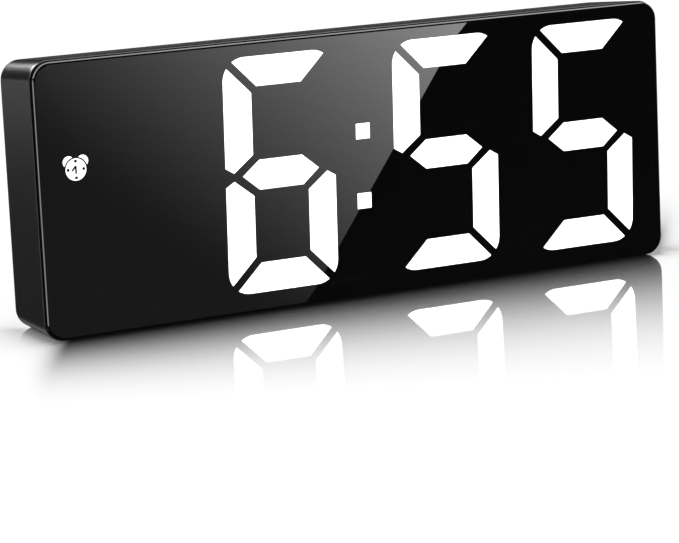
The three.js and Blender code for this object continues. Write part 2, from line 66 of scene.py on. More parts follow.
def circle(x, z, radius, steps=40):
    # points at equal angles round a centre
    def outline(inset=0.0):
        turn = np.arange(steps) * 2 * math.pi / steps
        r = radius - inset
        return np.stack([x + r * np.cos(turn), z + r * np.sin(turn)], 1)
    return outline


def polygon(points, rounds, steps=5):
    # each corner is a short arc tangent to its two sides; rounds gives one radius per corner, and an
    # inward corner's arc turns the other way
    corner = np.array(points, float)
    radius = np.broadcast_to(np.array(rounds, float), (len(corner),))[:, None]
    area = np.sum(corner[:, 0] * np.roll(corner[:, 1], -1) - corner[:, 1] * np.roll(corner[:, 0], -1))
    if area < 0:
        corner, radius = corner[::-1], radius[::-1]

    def unit(v):
        return v / np.linalg.norm(v, axis=1, keepdims=True)

    def outline(inset=0.0):
        into = unit(corner - np.roll(corner, 1, 0))
        away = unit(np.roll(corner, -1, 0) - corner)
        leftIn = np.stack([-into[:, 1], into[:, 0]], 1)
        leftAway = np.stack([-away[:, 1], away[:, 0]], 1)
        share = (leftIn + leftAway) / (1 + np.sum(leftIn * leftAway, 1, keepdims=True))
        moved = corner + inset * share
        sweep = np.arctan2(into[:, 0] * away[:, 1] - into[:, 1] * away[:, 0], np.sum(into * away, 1))
        left = sweep[:, None] > 0
        r = np.where(left, np.maximum(radius - inset, leastRound), -np.maximum(radius + inset, leastRound))
        centre = moved + r * share
        start = np.arctan2(-leftIn[:, 1], -leftIn[:, 0])
        turn = start[:, None] + sweep[:, None] * np.linspace(0, 1, steps + 1)[None]
        ring = centre[:, None] + r[:, None] * np.stack([np.cos(turn), np.sin(turn)], 2)
        return ring.reshape(-1, 2)
    return outline


def inside(points, loop):
    # even-odd test: a point is inside when a ray along +X crosses the loop an odd number of times
    a, b = loop, np.roll(loop, -1, 0)
    px, pz = points[:, 0][:, None], points[:, 1][:, None]
    straddles = (a[None, :, 1] > pz) != (b[None, :, 1] > pz)
    rise = b[:, 1] - a[:, 1]
    least = 1e-12
    rise = np.where(np.abs(rise) < least, least, rise)
    crossing = a[None, :, 0] + (pz - a[None, :, 1]) * (b[:, 0] - a[:, 0])[None] / rise[None]
    return (np.sum(straddles & (px < crossing), 1) % 2) == 1


def fillLoops(outer, holes):
    # triangles that cover the outer loop and leave the holes open
    loops = [outer] + list(holes)
    points = np.concatenate(loops)
    edges, start = [], 0
    for loop in loops:
        n = len(loop)
        edges += [(start + i, start + (i + 1) % n) for i in range(n)]
        start += n
    found = delaunay_2d_cdt([Vector(p) for p in points.tolist()], edges, [], 1, 1e-7)
    spots = np.array([tuple(v) for v in found[0]])
    faces = np.array([tuple(f) for f in found[2]])
    middle = spots[faces].mean(1)
    keep = inside(middle, outer)
    for hole in holes:
        keep &= ~inside(middle, hole)
    return spots, faces[keep]


def cleaned(mesh, joinFlat=False):
    # doubles are merged, so seams close, and every face is turned outwards
    tidy = bmesh.new()
    tidy.from_mesh(mesh)
    bmesh.ops.remove_doubles(tidy, verts=tidy.verts, dist=weld["doubles"])
    if joinFlat:
        bmesh.ops.dissolve_limit(tidy, angle_limit=math.radians(weld["joinDegrees"]),
                                 verts=tidy.verts, edges=tidy.edges)
    else:
        bmesh.ops.dissolve_degenerate(tidy, edges=tidy.edges, dist=weld["collapsed"])
    bmesh.ops.recalc_face_normals(tidy, faces=tidy.faces)
    tidy.to_mesh(mesh)
    tidy.free()
    mesh.shade_smooth()


def placed(name, data):
    thing = bpy.data.objects.new(name, data)
    scene.collection.objects.link(thing)
    return thing


def makeObject(name, vertices, faces, flatBelow=35, weighted=True):
    # vertices in millimetres; edges that bend by more than flatBelow degrees stay sharp
    mesh = bpy.data.meshes.new(name)
    mesh.from_pydata((np.asarray(vertices) * mm).tolist(), [], [list(f) for f in faces])
    cleaned(mesh)
    mesh.set_sharp_from_angle(angle=math.radians(flatBelow))
    piece = placed(name, mesh)
    if weighted:
        flat = piece.modifiers.new("flatFaces", "WEIGHTED_NORMAL")
        flat.keep_sharp = True
        flat.weight = weld["flatWeight"]
    return piece


def joinParts(*parts):
    # stacks (vertices, faces) pairs into one pair
    vertices, faces, start = [], [], 0
    for v, f in parts:
        vertices.append(np.asarray(v, float))
        faces += [tuple(int(i) + start for i in face) for face in f]
        start += len(v)
    return np.concatenate(vertices), faces


def strip(rings, closeEnds=False):
    # rings is (rows, points, 3): quads join each ring to the next, all the way round
    rows, count = rings.shape[:2]
    index = np.arange(rows * count).reshape(rows, count)
    if closeEnds:
        index = np.vstack([index, index[:1]])
    a, b = index[:-1], index[1:]
    quads = np.stack([a, np.roll(a, -1, 1), np.roll(b, -1, 1), b], 2).reshape(-1, 4)
    return rings.reshape(-1, 3), quads


def lift(loop, y):
    return np.stack([loop[:, 0], np.full(len(loop), y), loop[:, 1]], 1)


def quarterRound(size, y, direction, steps=5):
    # (inset, y) pairs of a quarter circle from the face at y out to the side wall
    turn = np.linspace(0, math.pi / 2, steps + 1)
    return [(size * (1 - math.sin(a)), y + direction * size * (1 - math.cos(a))) for a in turn]


def slab(outer, holes, y0, y1, frontEdge, rearEdge, holeEdge=0.0):
    # a plate between y0 and y1; each edge profile is a list of (inset, y) from the face to the wall
    parts = []
    front, rear = frontEdge or [(0.0, y0)], rearEdge or [(0.0, y1)]
    profile = front + rear[::-1]
    parts.append(strip(np.stack([lift(outer(i), y) for i, y in profile])))
    holeFront = quarterRound(holeEdge, y0, 1, 3) if holeEdge else [(0.0, y0)]
    holeRear = quarterRound(holeEdge, y1, -1, 3) if holeEdge else [(0.0, y1)]
    for hole in holes:
        parts.append(strip(np.stack([lift(hole(-i), y) for i, y in holeFront + holeRear[::-1]])))
    for edge, holeSide in ((front[0], holeFront[0]), (rear[0], holeRear[0])):
        spots, faces = fillLoops(outer(edge[0]), [hole(-holeSide[0]) for hole in holes])
        parts.append((lift(spots, edge[1]), faces))
    return joinParts(*parts)


def roundedSlab(outer, holes, y0, y1, edge, holeEdge=0.0):
    return slab(outer, holes, y0, y1, quarterRound(edge, y0, 1), quarterRound(edge, y1, -1), holeEdge)


def block(x0, x1, y0, y1, z0, z1, edge=0.15, corner=0.3):
    return roundedSlab(roundedRect(x0, x1, z0, z1, corner, 3), [], y0, y1, edge)


def lathe(profile, centre, axis="y", steps=40):
    # (radius, distance) pairs turned round an axis; it starts and ends on the axis
    radius, along = np.array(profile, float).T
    turn = np.arange(steps) * 2 * math.pi / steps
    u = radius[:, None] * np.cos(turn)
    v = radius[:, None] * np.sin(turn)
    w = np.repeat(along[:, None], steps, 1)
    stacked = (u, w, v) if axis == "y" else (w, u, v)
    rings = np.stack(stacked, 2) + np.array(centre, float)
    return strip(rings)


def tube(path, radius, steps=10):
    # a round section carried along the path, closed by a point at each end
    path = np.asarray(path, float)
    tangent = np.gradient(path, axis=0)
    tangent /= np.linalg.norm(tangent, axis=1, keepdims=True)
    aside = np.array([0.31, 0.17, 0.93])  # a direction that no path runs along
    side = np.cross(tangent, aside)
    side /= np.linalg.norm(side, axis=1, keepdims=True)
    other = np.cross(tangent, side)
    turn = np.arange(steps) * 2 * math.pi / steps
    around = np.cos(turn)[None, :, None] * side[:, None] + np.sin(turn)[None, :, None] * other[:, None]
    rings = path[:, None] + radius * around
    ends = np.repeat(path[[0, -1]][:, None], steps, 1)
    return strip(np.concatenate([ends[:1], rings, ends[1:]]))


def srgb(hexValue):
    # sRGB hex to linear colour
    raw = np.array([int(hexValue[i:i + 2], 16) for i in (0, 2, 4)]) / 255
    line = np.where(raw <= 0.04045, raw / 12.92, ((raw + 0.055) / 1.055) ** 2.4)
    return (*line.tolist(), 1.0)


def addNode(tree, kind, settings=(), links=()):
    # one node, its settings by name, and (output socket, input name) links into it
    node = tree.nodes.new(kind)
    for key, value in dict(settings).items():
        if isinstance(key, str) and hasattr(node, key):
            setattr(node, key, value)
        else:
            node.inputs[key].default_value = value
    for source, target in links:
        tree.links.new(source, node.inputs[target])
    return node


def plainShader(name, **values):
    material = bpy.data.materials.new(name)
    material.use_nodes = True
    shader = material.node_tree.nodes["Principled BSDF"]
    for key, value in values.items():
        shader.inputs[key].default_value = value
    return material, material.node_tree, shader


def toneAndGloss(tree, shader, look, toneNoise, glossNoise, low, high):
    # one noise moves the colour between dark and light, and one moves the roughness from low to high
    colours = {"data_type": "RGBA", 6: srgb(look["dark"]), 7: srgb(look["light"])}
    tone = addNode(tree, "ShaderNodeMix", colours, [(toneNoise.outputs["Fac"], 0)])
    tree.links.new(tone.outputs[2], shader.inputs["Base Color"])
    gloss = addNode(tree, "ShaderNodeMapRange", {"To Min": low, "To Max": high},
                    [(glossNoise.outputs["Fac"], "Value")])
    tree.links.new(gloss.outputs["Result"], shader.inputs["Roughness"])


grainRelief = 0.25  # a moulded grain's depth as a share of its width


def mouldedPlastic(name, look):
    # injection-moulded plastic: faint mottling of colour and gloss, and a spark-eroded grain as bump
    material, tree, shader = plainShader(name, IOR=look["ior"])
    shader.inputs["Specular IOR Level"].default_value = look.get("specular", 0.5)
    place = addNode(tree, "ShaderNodeTexCoord")
    grain = addNode(tree, "ShaderNodeTexNoise",
                    {"Scale": 1 / (look["grainMm"] * mm), "Detail": 3.0, "Roughness": 0.55},
                    [(place.outputs["Object"], "Vector")])
    cloud = addNode(tree, "ShaderNodeTexNoise",
                    {"Scale": 1 / (look["cloudMm"] * mm), "Detail": 2.0},
                    [(place.outputs["Object"], "Vector")])
    toneAndGloss(tree, shader, look, cloud, grain, look["roughness"] - look["roughnessSpread"],
                 look["roughness"] + look["roughnessSpread"])
    bump = addNode(tree, "ShaderNodeBump",
                   {"Strength": look["bump"], "Distance": look["grainMm"] * mm * grainRelief},
                   [(grain.outputs["Fac"], "Height")])
    tree.links.new(bump.outputs["Normal"], shader.inputs["Normal"])
    return material


def metalFinish(name, look):
    # plated metal: fine marks change its colour and gloss, and stretch draws them out along an axis
    material, tree, shader = plainShader(name, Metallic=1.0)
    place = addNode(tree, "ShaderNodeTexCoord")
    stretch = addNode(tree, "ShaderNodeMapping", {"Scale": look["stretch"]},
                      [(place.outputs["Object"], "Vector")])
    lines = addNode(tree, "ShaderNodeTexNoise", {"Scale": 1 / (look["lineMm"] * mm), "Detail": 2.0},
                    [(stretch.outputs["Vector"], "Vector")])
    spread = 0.06
    toneAndGloss(tree, shader, look, lines, lines, look["roughness"] - spread, look["roughness"] + spread)
    return material


def smokedAcrylic(name, look):
    # cast acrylic, polished: near black, mirror gloss, only a breath of unevenness in the gloss
    material, tree, shader = plainShader(name, IOR=look["ior"])
    place = addNode(tree, "ShaderNodeTexCoord")
    haze = addNode(tree, "ShaderNodeTexNoise", {"Scale": 1 / (look["hazeMm"] * mm), "Detail": 2.0},
                   [(place.outputs["Object"], "Vector")])
    toneAndGloss(tree, shader, look, haze, haze, look["glossMin"], look["glossMax"])
    return material


def litResin(name, look):
    # milky resin over white LEDs: even white light with the least fall-off between the chips
    material, tree, shader = plainShader(name, IOR=look["ior"], Roughness=look["roughness"])
    shader.inputs["Base Color"].default_value = srgb(look["light"])
    shader.inputs["Emission Strength"].default_value = look["strength"]
    place = addNode(tree, "ShaderNodeTexCoord")
    cloud = addNode(tree, "ShaderNodeTexNoise", {"Scale": 1 / (look["chipMm"] * mm), "Detail": 1.0},
                    [(place.outputs["Object"], "Vector")])
    colours = {"data_type": "RGBA", 6: srgb(look["dark"]), 7: srgb(look["light"])}
    tone = addNode(tree, "ShaderNodeMix", colours, [(cloud.outputs["Fac"], 0)])
    tree.links.new(tone.outputs[2], shader.inputs["Emission Color"])
    return material


def solderMask(name, look):
    # green lacquer over copper tracks: a grid of slightly lighter lines on darker laminate
    material, tree, shader = plainShader(name, IOR=look["ior"], Roughness=look["roughness"])
    place = addNode(tree, "ShaderNodeTexCoord")
    tracks = addNode(tree, "ShaderNodeTexBrick",
                     {"Scale": 1.0, "Brick Width": look["fieldMm"] * mm, "Row Height": look["rowMm"] * mm,
                      "Mortar Size": look["trackMm"] * mm, "Color1": srgb(look["mask"]),
                      "Color2": srgb(look["maskLight"]), "Mortar": srgb(look["track"])})
    flat = addNode(tree, "ShaderNodeMapping", {"Rotation": (math.pi / 2, 0, 0)},
                   [(place.outputs["Object"], "Vector")])
    tree.links.new(flat.outputs["Vector"], tracks.inputs["Vector"])
    tree.links.new(tracks.outputs["Color"], shader.inputs["Base Color"])
    return material


def shrinkJacket(name, look):
    # the cell from base to nub by its own "along" value: bare steel, blue-grey film, a pale band, and
    # steel again at the nub
    material, tree, shader = plainShader(name)
    place = addNode(tree, "ShaderNodeAttribute", {"attribute_name": "along"})
    ramp = addNode(tree, "ShaderNodeValToRGB", {}, [(place.outputs["Fac"], 0)])
    metal = addNode(tree, "ShaderNodeValToRGB", {}, [(place.outputs["Fac"], 0)])
    for node, stops in ((ramp, look["colours"]), (metal, look["metals"])):
        node.color_ramp.interpolation = "CONSTANT"
        stripe = node.color_ramp.elements
        while len(stripe) < len(stops):
            stripe.new(0.5)
        for element, (position, hexValue) in zip(stripe, stops):
            element.position = position
            element.color = srgb(hexValue)
    spot = addNode(tree, "ShaderNodeTexCoord")
    noise = addNode(tree, "ShaderNodeTexNoise", {"Scale": 1 / (look["cloudMm"] * mm), "Detail": 2.0},
                    [(spot.outputs["Object"], "Vector")])
    gloss = addNode(tree, "ShaderNodeMapRange", {"To Min": look["glossMin"], "To Max": look["glossMax"]},
                    [(noise.outputs["Fac"], "Value")])
    tree.links.new(ramp.outputs["Color"], shader.inputs["Base Color"])
    tree.links.new(metal.outputs["Color"], shader.inputs["Metallic"])
    tree.links.new(gloss.outputs["Result"], shader.inputs["Roughness"])
    return material


caseAbs = mouldedPlastic("caseAbs", dict(
    # moulded ABS, satin: soft wide highlights and a barely visible grain
    ior=1.46, dark="1b1b1c", light="202021", grainMm=0.22, cloudMm=9.0,
    roughness=0.24, roughnessSpread=0.03, bump=0.025))
rearAbs = mouldedPlastic("rearAbs", dict(
    # same ABS with a coarser spark-eroded texture, so the rear reads duller than the sides
    ior=1.46, dark="1a1a1b", light="232324", grainMm=0.30, cloudMm=7.0,
    roughness=0.50, roughnessSpread=0.06, bump=0.35))
buttonAbs = mouldedPlastic("buttonAbs", dict(
    # button caps: fine matt grain, a shade lighter than the cover
    ior=1.46, dark="262627", light="2e2e30", grainMm=0.18, cloudMm=3.0,
    roughness=0.42, roughnessSpread=0.04, bump=0.15))
chipEpoxy = mouldedPlastic("chipEpoxy", dict(
    # transfer-moulded epoxy: dull near-black that keeps small parts quiet behind the openings
    ior=1.5, dark="141414", light="1d1d1d", grainMm=0.12, cloudMm=2.0,
    roughness=0.5, roughnessSpread=0.05, bump=0.2))
foamTape = mouldedPlastic("foamTape", dict(
    # die-cut foam: pores swallow the light, so the joint behind the lens reads as a plain dark gap
    ior=1.4, specular=0.2, dark="060606", light="0a0a0a", grainMm=0.15, cloudMm=3.0,
    roughness=0.85, roughnessSpread=0.05, bump=0.3))
unlitResin = mouldedPlastic("unlitResin", dict(
    # cast milky resin, unlit: pale and soft, it shows only if the lens is taken off
    ior=1.5, dark="c9c9c4", light="d6d6d2", grainMm=0.4, cloudMm=4.0,
    roughness=0.4, roughnessSpread=0.05, bump=0.05))
wireRedPvc = mouldedPlastic("wireRedPvc", dict(
    # extruded PVC: smooth with a waxy highlight along the wire
    ior=1.52, dark="a81414", light="b81c1a", grainMm=0.3, cloudMm=3.0,
    roughness=0.35, roughnessSpread=0.04, bump=0.05))
wireBlackPvc = mouldedPlastic("wireBlackPvc", dict(
    # extruded PVC in black: only the waxy highlight shows its round shape
    ior=1.52, dark="101010", light="171717", grainMm=0.3, cloudMm=3.0,
    roughness=0.35, roughnessSpread=0.04, bump=0.05))
lensPmma = smokedAcrylic("lensPmma", dict(
    # cast sheet, diamond-polished: deep black with mirror-sharp reflections and bright cut edges
    ior=1.49, dark="040404", light="060606", hazeMm=30.0, glossMin=0.0, glossMax=0.012))
# resin lit from behind: flat pure white that stands out of the black without a glow
litDigit = litResin("litDigit", dict(dark="f8faff", light="ffffff", chipMm=6.0, strength=1.0, ior=1.5,
                                     roughness=0.12))
# screen-printed green lacquer: a satin sheet with faint tracks that give the board its scale
boardMask = solderMask("boardMask", dict(mask="0d4526", maskLight="0f4d2b", track="1b6a3d", fieldMm=3.0,
                                         rowMm=1.2, trackMm=0.18, ior=1.5, roughness=0.32))
# stamped steel, nickel plated: warm bright edges with fine lines from drawing
nickelPlate = metalFinish("nickelPlate", dict(dark="b8b6ae", light="d2d0c8", roughness=0.26, lineMm=0.5,
                                              stretch=(0.15, 1, 1)))
# cold-headed steel, black zinc plated: dark with a dull metallic glint on the cross and rim
blackZinc = metalFinish("blackZinc", dict(dark="2c2c2f", light="46464a", roughness=0.33, lineMm=0.4,
                                          stretch=(1, 1, 1)))
cellJacket = shrinkJacket("cellJacket", dict(
    # printed film shrunk on a steel can: glossy, with sharp colour bands
    colours=((0.0, "b9b9b6"), (0.02, "2f4a5c"), (0.74, "c3c6c8"), (0.965, "c4c4c0")),
    metals=((0.0, "ffffff"), (0.02, "000000"), (0.74, "6a6a6a"), (0.965, "ffffff")),
    cloudMm=5.0, glossMin=0.18, glossMax=0.32))


def finish(piece, material, slotName, body, *replaced):
    # the calls that every new piece needs
    piece.data.materials.clear()
    piece.data.materials.append(material)
    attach(piece, body)
    if replaced:
        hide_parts(*replaced)


print("materials made")


housing = dict(width=162.5, height=62.0, corner=4.6, cornerSteps=24, sideDraft=1.4, topDraft=1.5,
               draftStart=0.6, wall=2.0, wallFrom=1.2, wallTo=2.0, wallRows=12, frontRound=0.2,
               rearRound=1.0, innerRound=0.35, innerFront=0.4, innerRear=1.5)
housingLow, housingHigh = [np.array(p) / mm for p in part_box("front_housing")]
housingFrontY, rearY = housingLow[1], housingHigh[1]
draftStartY = housingFrontY + housing["draftStart"]
halfWidth = housing["width"] / 2


def drafted(rings):
    # sides and top lean in towards the rear, in proportion to the depth; the base stays flat
    t = np.maximum(0, (rings[..., 1] - draftStartY) / (rearY - draftStartY))
    out = rings.copy()
    out[..., 0] *= 1 - housing["sideDraft"] * t / halfWidth
    out[..., 2] *= 1 - housing["topDraft"] * t / housing["height"]
    return out


def caseOutline():
    return roundedRect(-halfWidth, halfWidth, 0, housing["height"], housing["corner"],
                       housing["cornerSteps"])


def makeHousing():
    # a ring: rounded front edge, drafted outer wall, rounded rear edge, then back along the inner wall
    outline, wall = caseOutline(), housing["wall"]
    rearEdge = quarterRound(housing["rearRound"], rearY, -1, 8)[::-1]
    rim = [(wall - i, y) for i, y in quarterRound(housing["innerRound"], rearY, -1, 4)]
    profile = quarterRound(housing["frontRound"], housingFrontY, 1, 8)
    profile += [(0.0, y) for y in np.linspace(housingFrontY + housing["wallFrom"], rearY - housing["wallTo"],
                                              housing["wallRows"])]
    profile += rearEdge + rim
    profile += [(wall, y) for y in (rearY - housing["innerRear"], 0.0, housingFrontY + housing["innerFront"],
                                    housingFrontY)]
    rings = np.stack([lift(outline(i), y) for i, y in profile])
    return makeObject("caseShell", *strip(drafted(rings), closeEnds=True))


finish(makeHousing(), caseAbs, "case_abs", "case", "front_housing")
print("case shell made")


display = dict(digitWidth=28.2, digitHeight=53.98, digitBottom=4.62, stroke=7.1, outerRound=5.5,
               hourUnitsX=-22.08, minuteTensX=21.28, minuteUnitsX=59.11, colonX=-0.78, colonSize=3.9,
               colonLowerZ=22.62, colonUpperZ=38.72, colonRound=0.15, tipRound=0.12, slant=0.021,
               trim=0.15, topArc=(90, 126), sideArc=(143, 180), barInnerX=8.4, sideInnerX=7.3,
               sideOuterZ=2.1, sideTip=(2.3, 0.75), sideKneeZ=4.6, sideTopZ=8.25, middleTipX=4.2,
               middleInnerX=8.6)


def segmentPoints():
    # seven bars in a rounded box; the outer ends of the bars lie on the box's corner arcs. Heights of the
    # side bar's points count from the middle, except its top, which counts down from the box's top.
    d = display
    w, h, s = d["digitWidth"], d["digitHeight"], d["stroke"]
    mid, r = h / 2, d["outerRound"]
    bar, side, middle, tip = d["barInnerX"], d["sideInnerX"], d["middleInnerX"], d["middleTipX"]

    def cornerArc(fromDegrees, toDegrees, count=7):
        turn = np.radians(np.linspace(fromDegrees, toDegrees, count))
        return np.stack([r + r * np.cos(turn), h - r + r * np.sin(turn)], 1)

    def mirrorX(p):
        return np.stack([w - p[:, 0], p[:, 1]], 1)[::-1]

    def mirrorZ(p):
        return np.stack([p[:, 0], h - p[:, 1]], 1)[::-1]

    arcTop = cornerArc(*d["topArc"])
    a = np.concatenate([mirrorX(arcTop), arcTop, [[bar, h - s], [w - bar, h - s]]])
    f = np.concatenate([cornerArc(*d["sideArc"]),
                        [[0.0, mid + d["sideOuterZ"]], [d["sideTip"][0], mid + d["sideTip"][1]],
                         [side, mid + d["sideKneeZ"]], [side, h - d["sideTopZ"]]]])
    g = np.array([[tip, mid], [middle, mid - s / 2], [w - bar, mid - s / 2], [w - tip, mid],
                  [w - middle, mid + s / 2], [middle, mid + s / 2]])
    return dict(a=a, b=mirrorX(f), c=mirrorX(mirrorZ(f)), d=mirrorZ(a), e=mirrorZ(f), f=f, g=g)


bars = segmentPoints()


def slanted(points):
    # the digits lean: x grows with the height above the middle of the display
    middle = display["digitBottom"] + display["digitHeight"] / 2
    return np.stack([points[:, 0] + display["slant"] * (points[:, 1] - middle), points[:, 1]], 1)


def trimmed(outline):
    # the same outline, a little smaller all round
    return lambda inset=0.0: outline(inset + display["trim"])


def digitLoops(centreX, shown):
    shift = np.array([centreX - display["digitWidth"] / 2, display["digitBottom"]])
    return [trimmed(polygon(slanted(bars[key] + shift), display["tipRound"], 2)) for key in shown]


def colonLoops():
    half = display["colonSize"] / 2
    square = np.array([[-half, -half], [half, -half], [half, half], [-half, half]])
    return [trimmed(polygon(slanted(square + [display["colonX"], z]), display["colonRound"], 3))
            for z in (display["colonLowerZ"], display["colonUpperZ"])]


icon = dict(x=-72.1, z=37.75, faceRadius=2.44, bellRadius=1.33, bellX=1.66, bellZ=1.74, gap=0.36,
            dotRadius=0.38, dotRing=1.85, handWidth=0.47, handRound=0.08, handPivotZ=0.8,
            handTips=((-0.95, -0.3), (0.0, -1.0)))


def bellLoop(side):
    # the part of a bell's circle that lies outside the face's circle, less a thin gap
    bx, bz, rb = side * icon["bellX"], icon["bellZ"], icon["bellRadius"]
    rf = icon["faceRadius"] + icon["gap"]
    far = math.hypot(bx, bz)
    towards = math.atan2(bz, bx)
    along = (far ** 2 + rf ** 2 - rb ** 2) / (2 * far)
    half = math.acos(along / rf)
    halfBell = math.atan2(rf * math.sin(half), rf * math.cos(half) - far)
    outerTurn = towards + np.linspace(-halfBell, halfBell, 25)
    innerTurn = towards + np.linspace(half, -half, 13)[1:-1]
    outerArc = np.stack([bx + rb * np.cos(outerTurn), bz + rb * np.sin(outerTurn)], 1)
    innerArc = np.stack([rf * np.cos(innerTurn), rf * np.sin(innerTurn)], 1)
    return polygon(np.concatenate([outerArc, innerArc]) + [icon["x"], icon["z"]], leastRound, 1)


def handLoop(dx, dz):
    # a thin bar with slightly rounded ends from the pivot to (dx, dz)
    start = np.array([0.0, icon["handPivotZ"]])
    end = np.array([dx, dz])
    along = (end - start) / np.linalg.norm(end - start)
    side = np.array([-along[1], along[0]]) * icon["handWidth"] / 2
    return polygon(np.array([start - side, end - side, end + side, start + side])
                   + [icon["x"], icon["z"]], icon["handRound"], 3)


iconFace = circle(icon["x"], icon["z"], icon["faceRadius"], 48)
iconBells = [bellLoop(-1), bellLoop(1)]
iconDots = [circle(icon["x"] + icon["dotRing"] * math.cos(q * math.pi / 2),
                   icon["z"] + icon["dotRing"] * math.sin(q * math.pi / 2), icon["dotRadius"], 16)
            for q in range(4)]

digits = {
    "hourUnitsDigit": ("diffuser_hour_units", digitLoops(display["hourUnitsX"], "acdefg")),
    "minuteTensDigit": ("diffuser_minute_tens", digitLoops(display["minuteTensX"], "acdfg")),
    "minuteUnitsDigit": ("diffuser_minute_units", digitLoops(display["minuteUnitsX"], "acdfg")),
    "colonDots": ("diffuser_colon", colonLoops()),
    "alarmIcon": ("diffuser_alarm_icon", [iconFace] + iconBells),
}
iconMarks = iconDots + [handLoop(*tip) for tip in icon["handTips"]]

lens = dict(inset=0.15, lean=0.15, chamfer=0.23, facet=0.34, facetDrop=0.075)
lensLow, lensHigh = [np.array(p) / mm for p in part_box("front_lens")]
lensFrontY, lensRearY = lensLow[1], lensHigh[1]


def makeLens():
    # flat sheet; its front edge goes face, small round, shallow facet, small round, chamfer, leaning wall.
    # Each round is two or three points a few hundredths of a millimetre apart.
    base = caseOutline()
    c, lean = lens["chamfer"], lens["lean"]
    wallEnd = lens["inset"] + lean
    facetEnd = wallEnd + c
    faceStart = facetEnd + lens["facet"]
    facetY = lensFrontY + lens["facetDrop"]
    chamferY = facetY + c
    edge = [(faceStart + 0.05, lensFrontY), (faceStart, lensFrontY + 0.006),
            (faceStart - 0.04, lensFrontY + 0.02), (facetEnd + 0.03, facetY - 0.008),
            (facetEnd, facetY + 0.01), (wallEnd + 0.03, chamferY - 0.03),
            (wallEnd, chamferY + 0.01), (wallEnd - 0.01, chamferY + 0.06)]
    rear = [(lens["inset"] + 0.05, lensRearY), (lens["inset"], lensRearY - 0.05)]
    windows = [loop for _, loops in digits.values() for loop in loops]
    return makeObject("lensPanel", *slab(base, windows, lensFrontY, lensRearY, edge, rear), flatBelow=30)


finish(makeLens(), lensPmma, "lens_pmma", "case", "front_lens")

boardGap = 0.1  # mm between a digit's rear face and the board
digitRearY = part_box("display_board")[0][1] / mm - boardGap
for pieceName, (node, loops) in digits.items():
    holes = iconMarks if pieceName == "alarmIcon" else []
    parts = [slab(loop, holes if n == 0 else [], lensFrontY, digitRearY, None, None)
             for n, loop in enumerate(loops)]
    piece = makeObject(pieceName, *joinParts(*parts), weighted=False)
    finish(piece, litDigit, "diffuser_resin", "case", node)
parts = [slab(loop, [], lensFrontY, lensRearY, None, None) for loop in iconMarks]
finish(makeObject("alarmIconMarks", *joinParts(*parts), weighted=False), lensPmma, "lens_pmma", "case")
print("lens and digits made")


def softened(name, node, width, steps=3):
    # a small part's own surface with its flat faces joined, then its sharp edges rounded
    mesh = nodes[node].data.copy()
    mesh.name = name
    cleaned(mesh, joinFlat=True)
    piece = placed(name, mesh)
    edge = piece.modifiers.new("roundedEdges", "BEVEL")
    edge.width = width * mm
    edge.segments = steps
    edge.limit_method = "ANGLE"
    edge.angle_limit = math.radians(weld["bevelDegrees"])
    edge.harden_normals = True
    edge.use_clamp_overlap = False
    return piece


def wallOf(loop, y0, y1):
    return strip(np.stack([lift(loop, y0), lift(loop, y1)]))


def level(y, outer, holes=()):
    spots, faces = fillLoops(outer, list(holes))
    return lift(spots, y), faces


def lipped(hole, lip, depth):
    # a hole's wall with its quarter-round lip at the rear face
    return strip(np.stack([lift(hole(-i), y) for i, y in lip + [(0.0, depth)]]))


def corners(*points):
    return polygon(points, leastRound, 1)


def boxCorners(x0, x1, z0, z1):
    return corners((x0, z0), (x1, z0), (x1, z1), (x0, z1))


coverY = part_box("rear_cover")[1][1] / mm
cover = dict(inset=2.3, thick=1.6, edge=0.3, lip=0.16, bayX=(-62.0, -11.0), bayZ=(14.5, 47.6), bayY=-1.6,
             bayWall=1.2, doorX=(-63.4, -9.6), doorZ=(13.1, 49.0), ledgeY=9.15, step=0.05,
             scoopX=(-41.0, -32.0), scoopDeep=0.7, scoopTall=3.0, scoopRound=0.5, tongueX=(-52.0, -21.0),
             notchHalf=3.3, notchZ=11.3, notchY=6.0, pocket=1.0, buttonZ=44.0,
             buttonX=(6.0, 19.0, 32.0, 45.0), buttonHole=3.8, slotX=(59.9, 67.5), slotZ=(42.4, 45.6),
             slotRound=0.4, usb=(62.0, 15.0), usbHalf=(4.75, 1.9), usbRound=1.7, soundAt=(30.0, 22.0),
             sensorAt=(48.0, 24.0), soundHole=0.8, soundRing=3.0, postX=75.2, postZ=(6.2, 55.0), seat=2.3,
             seatDeep=1.0, shank=1.3)


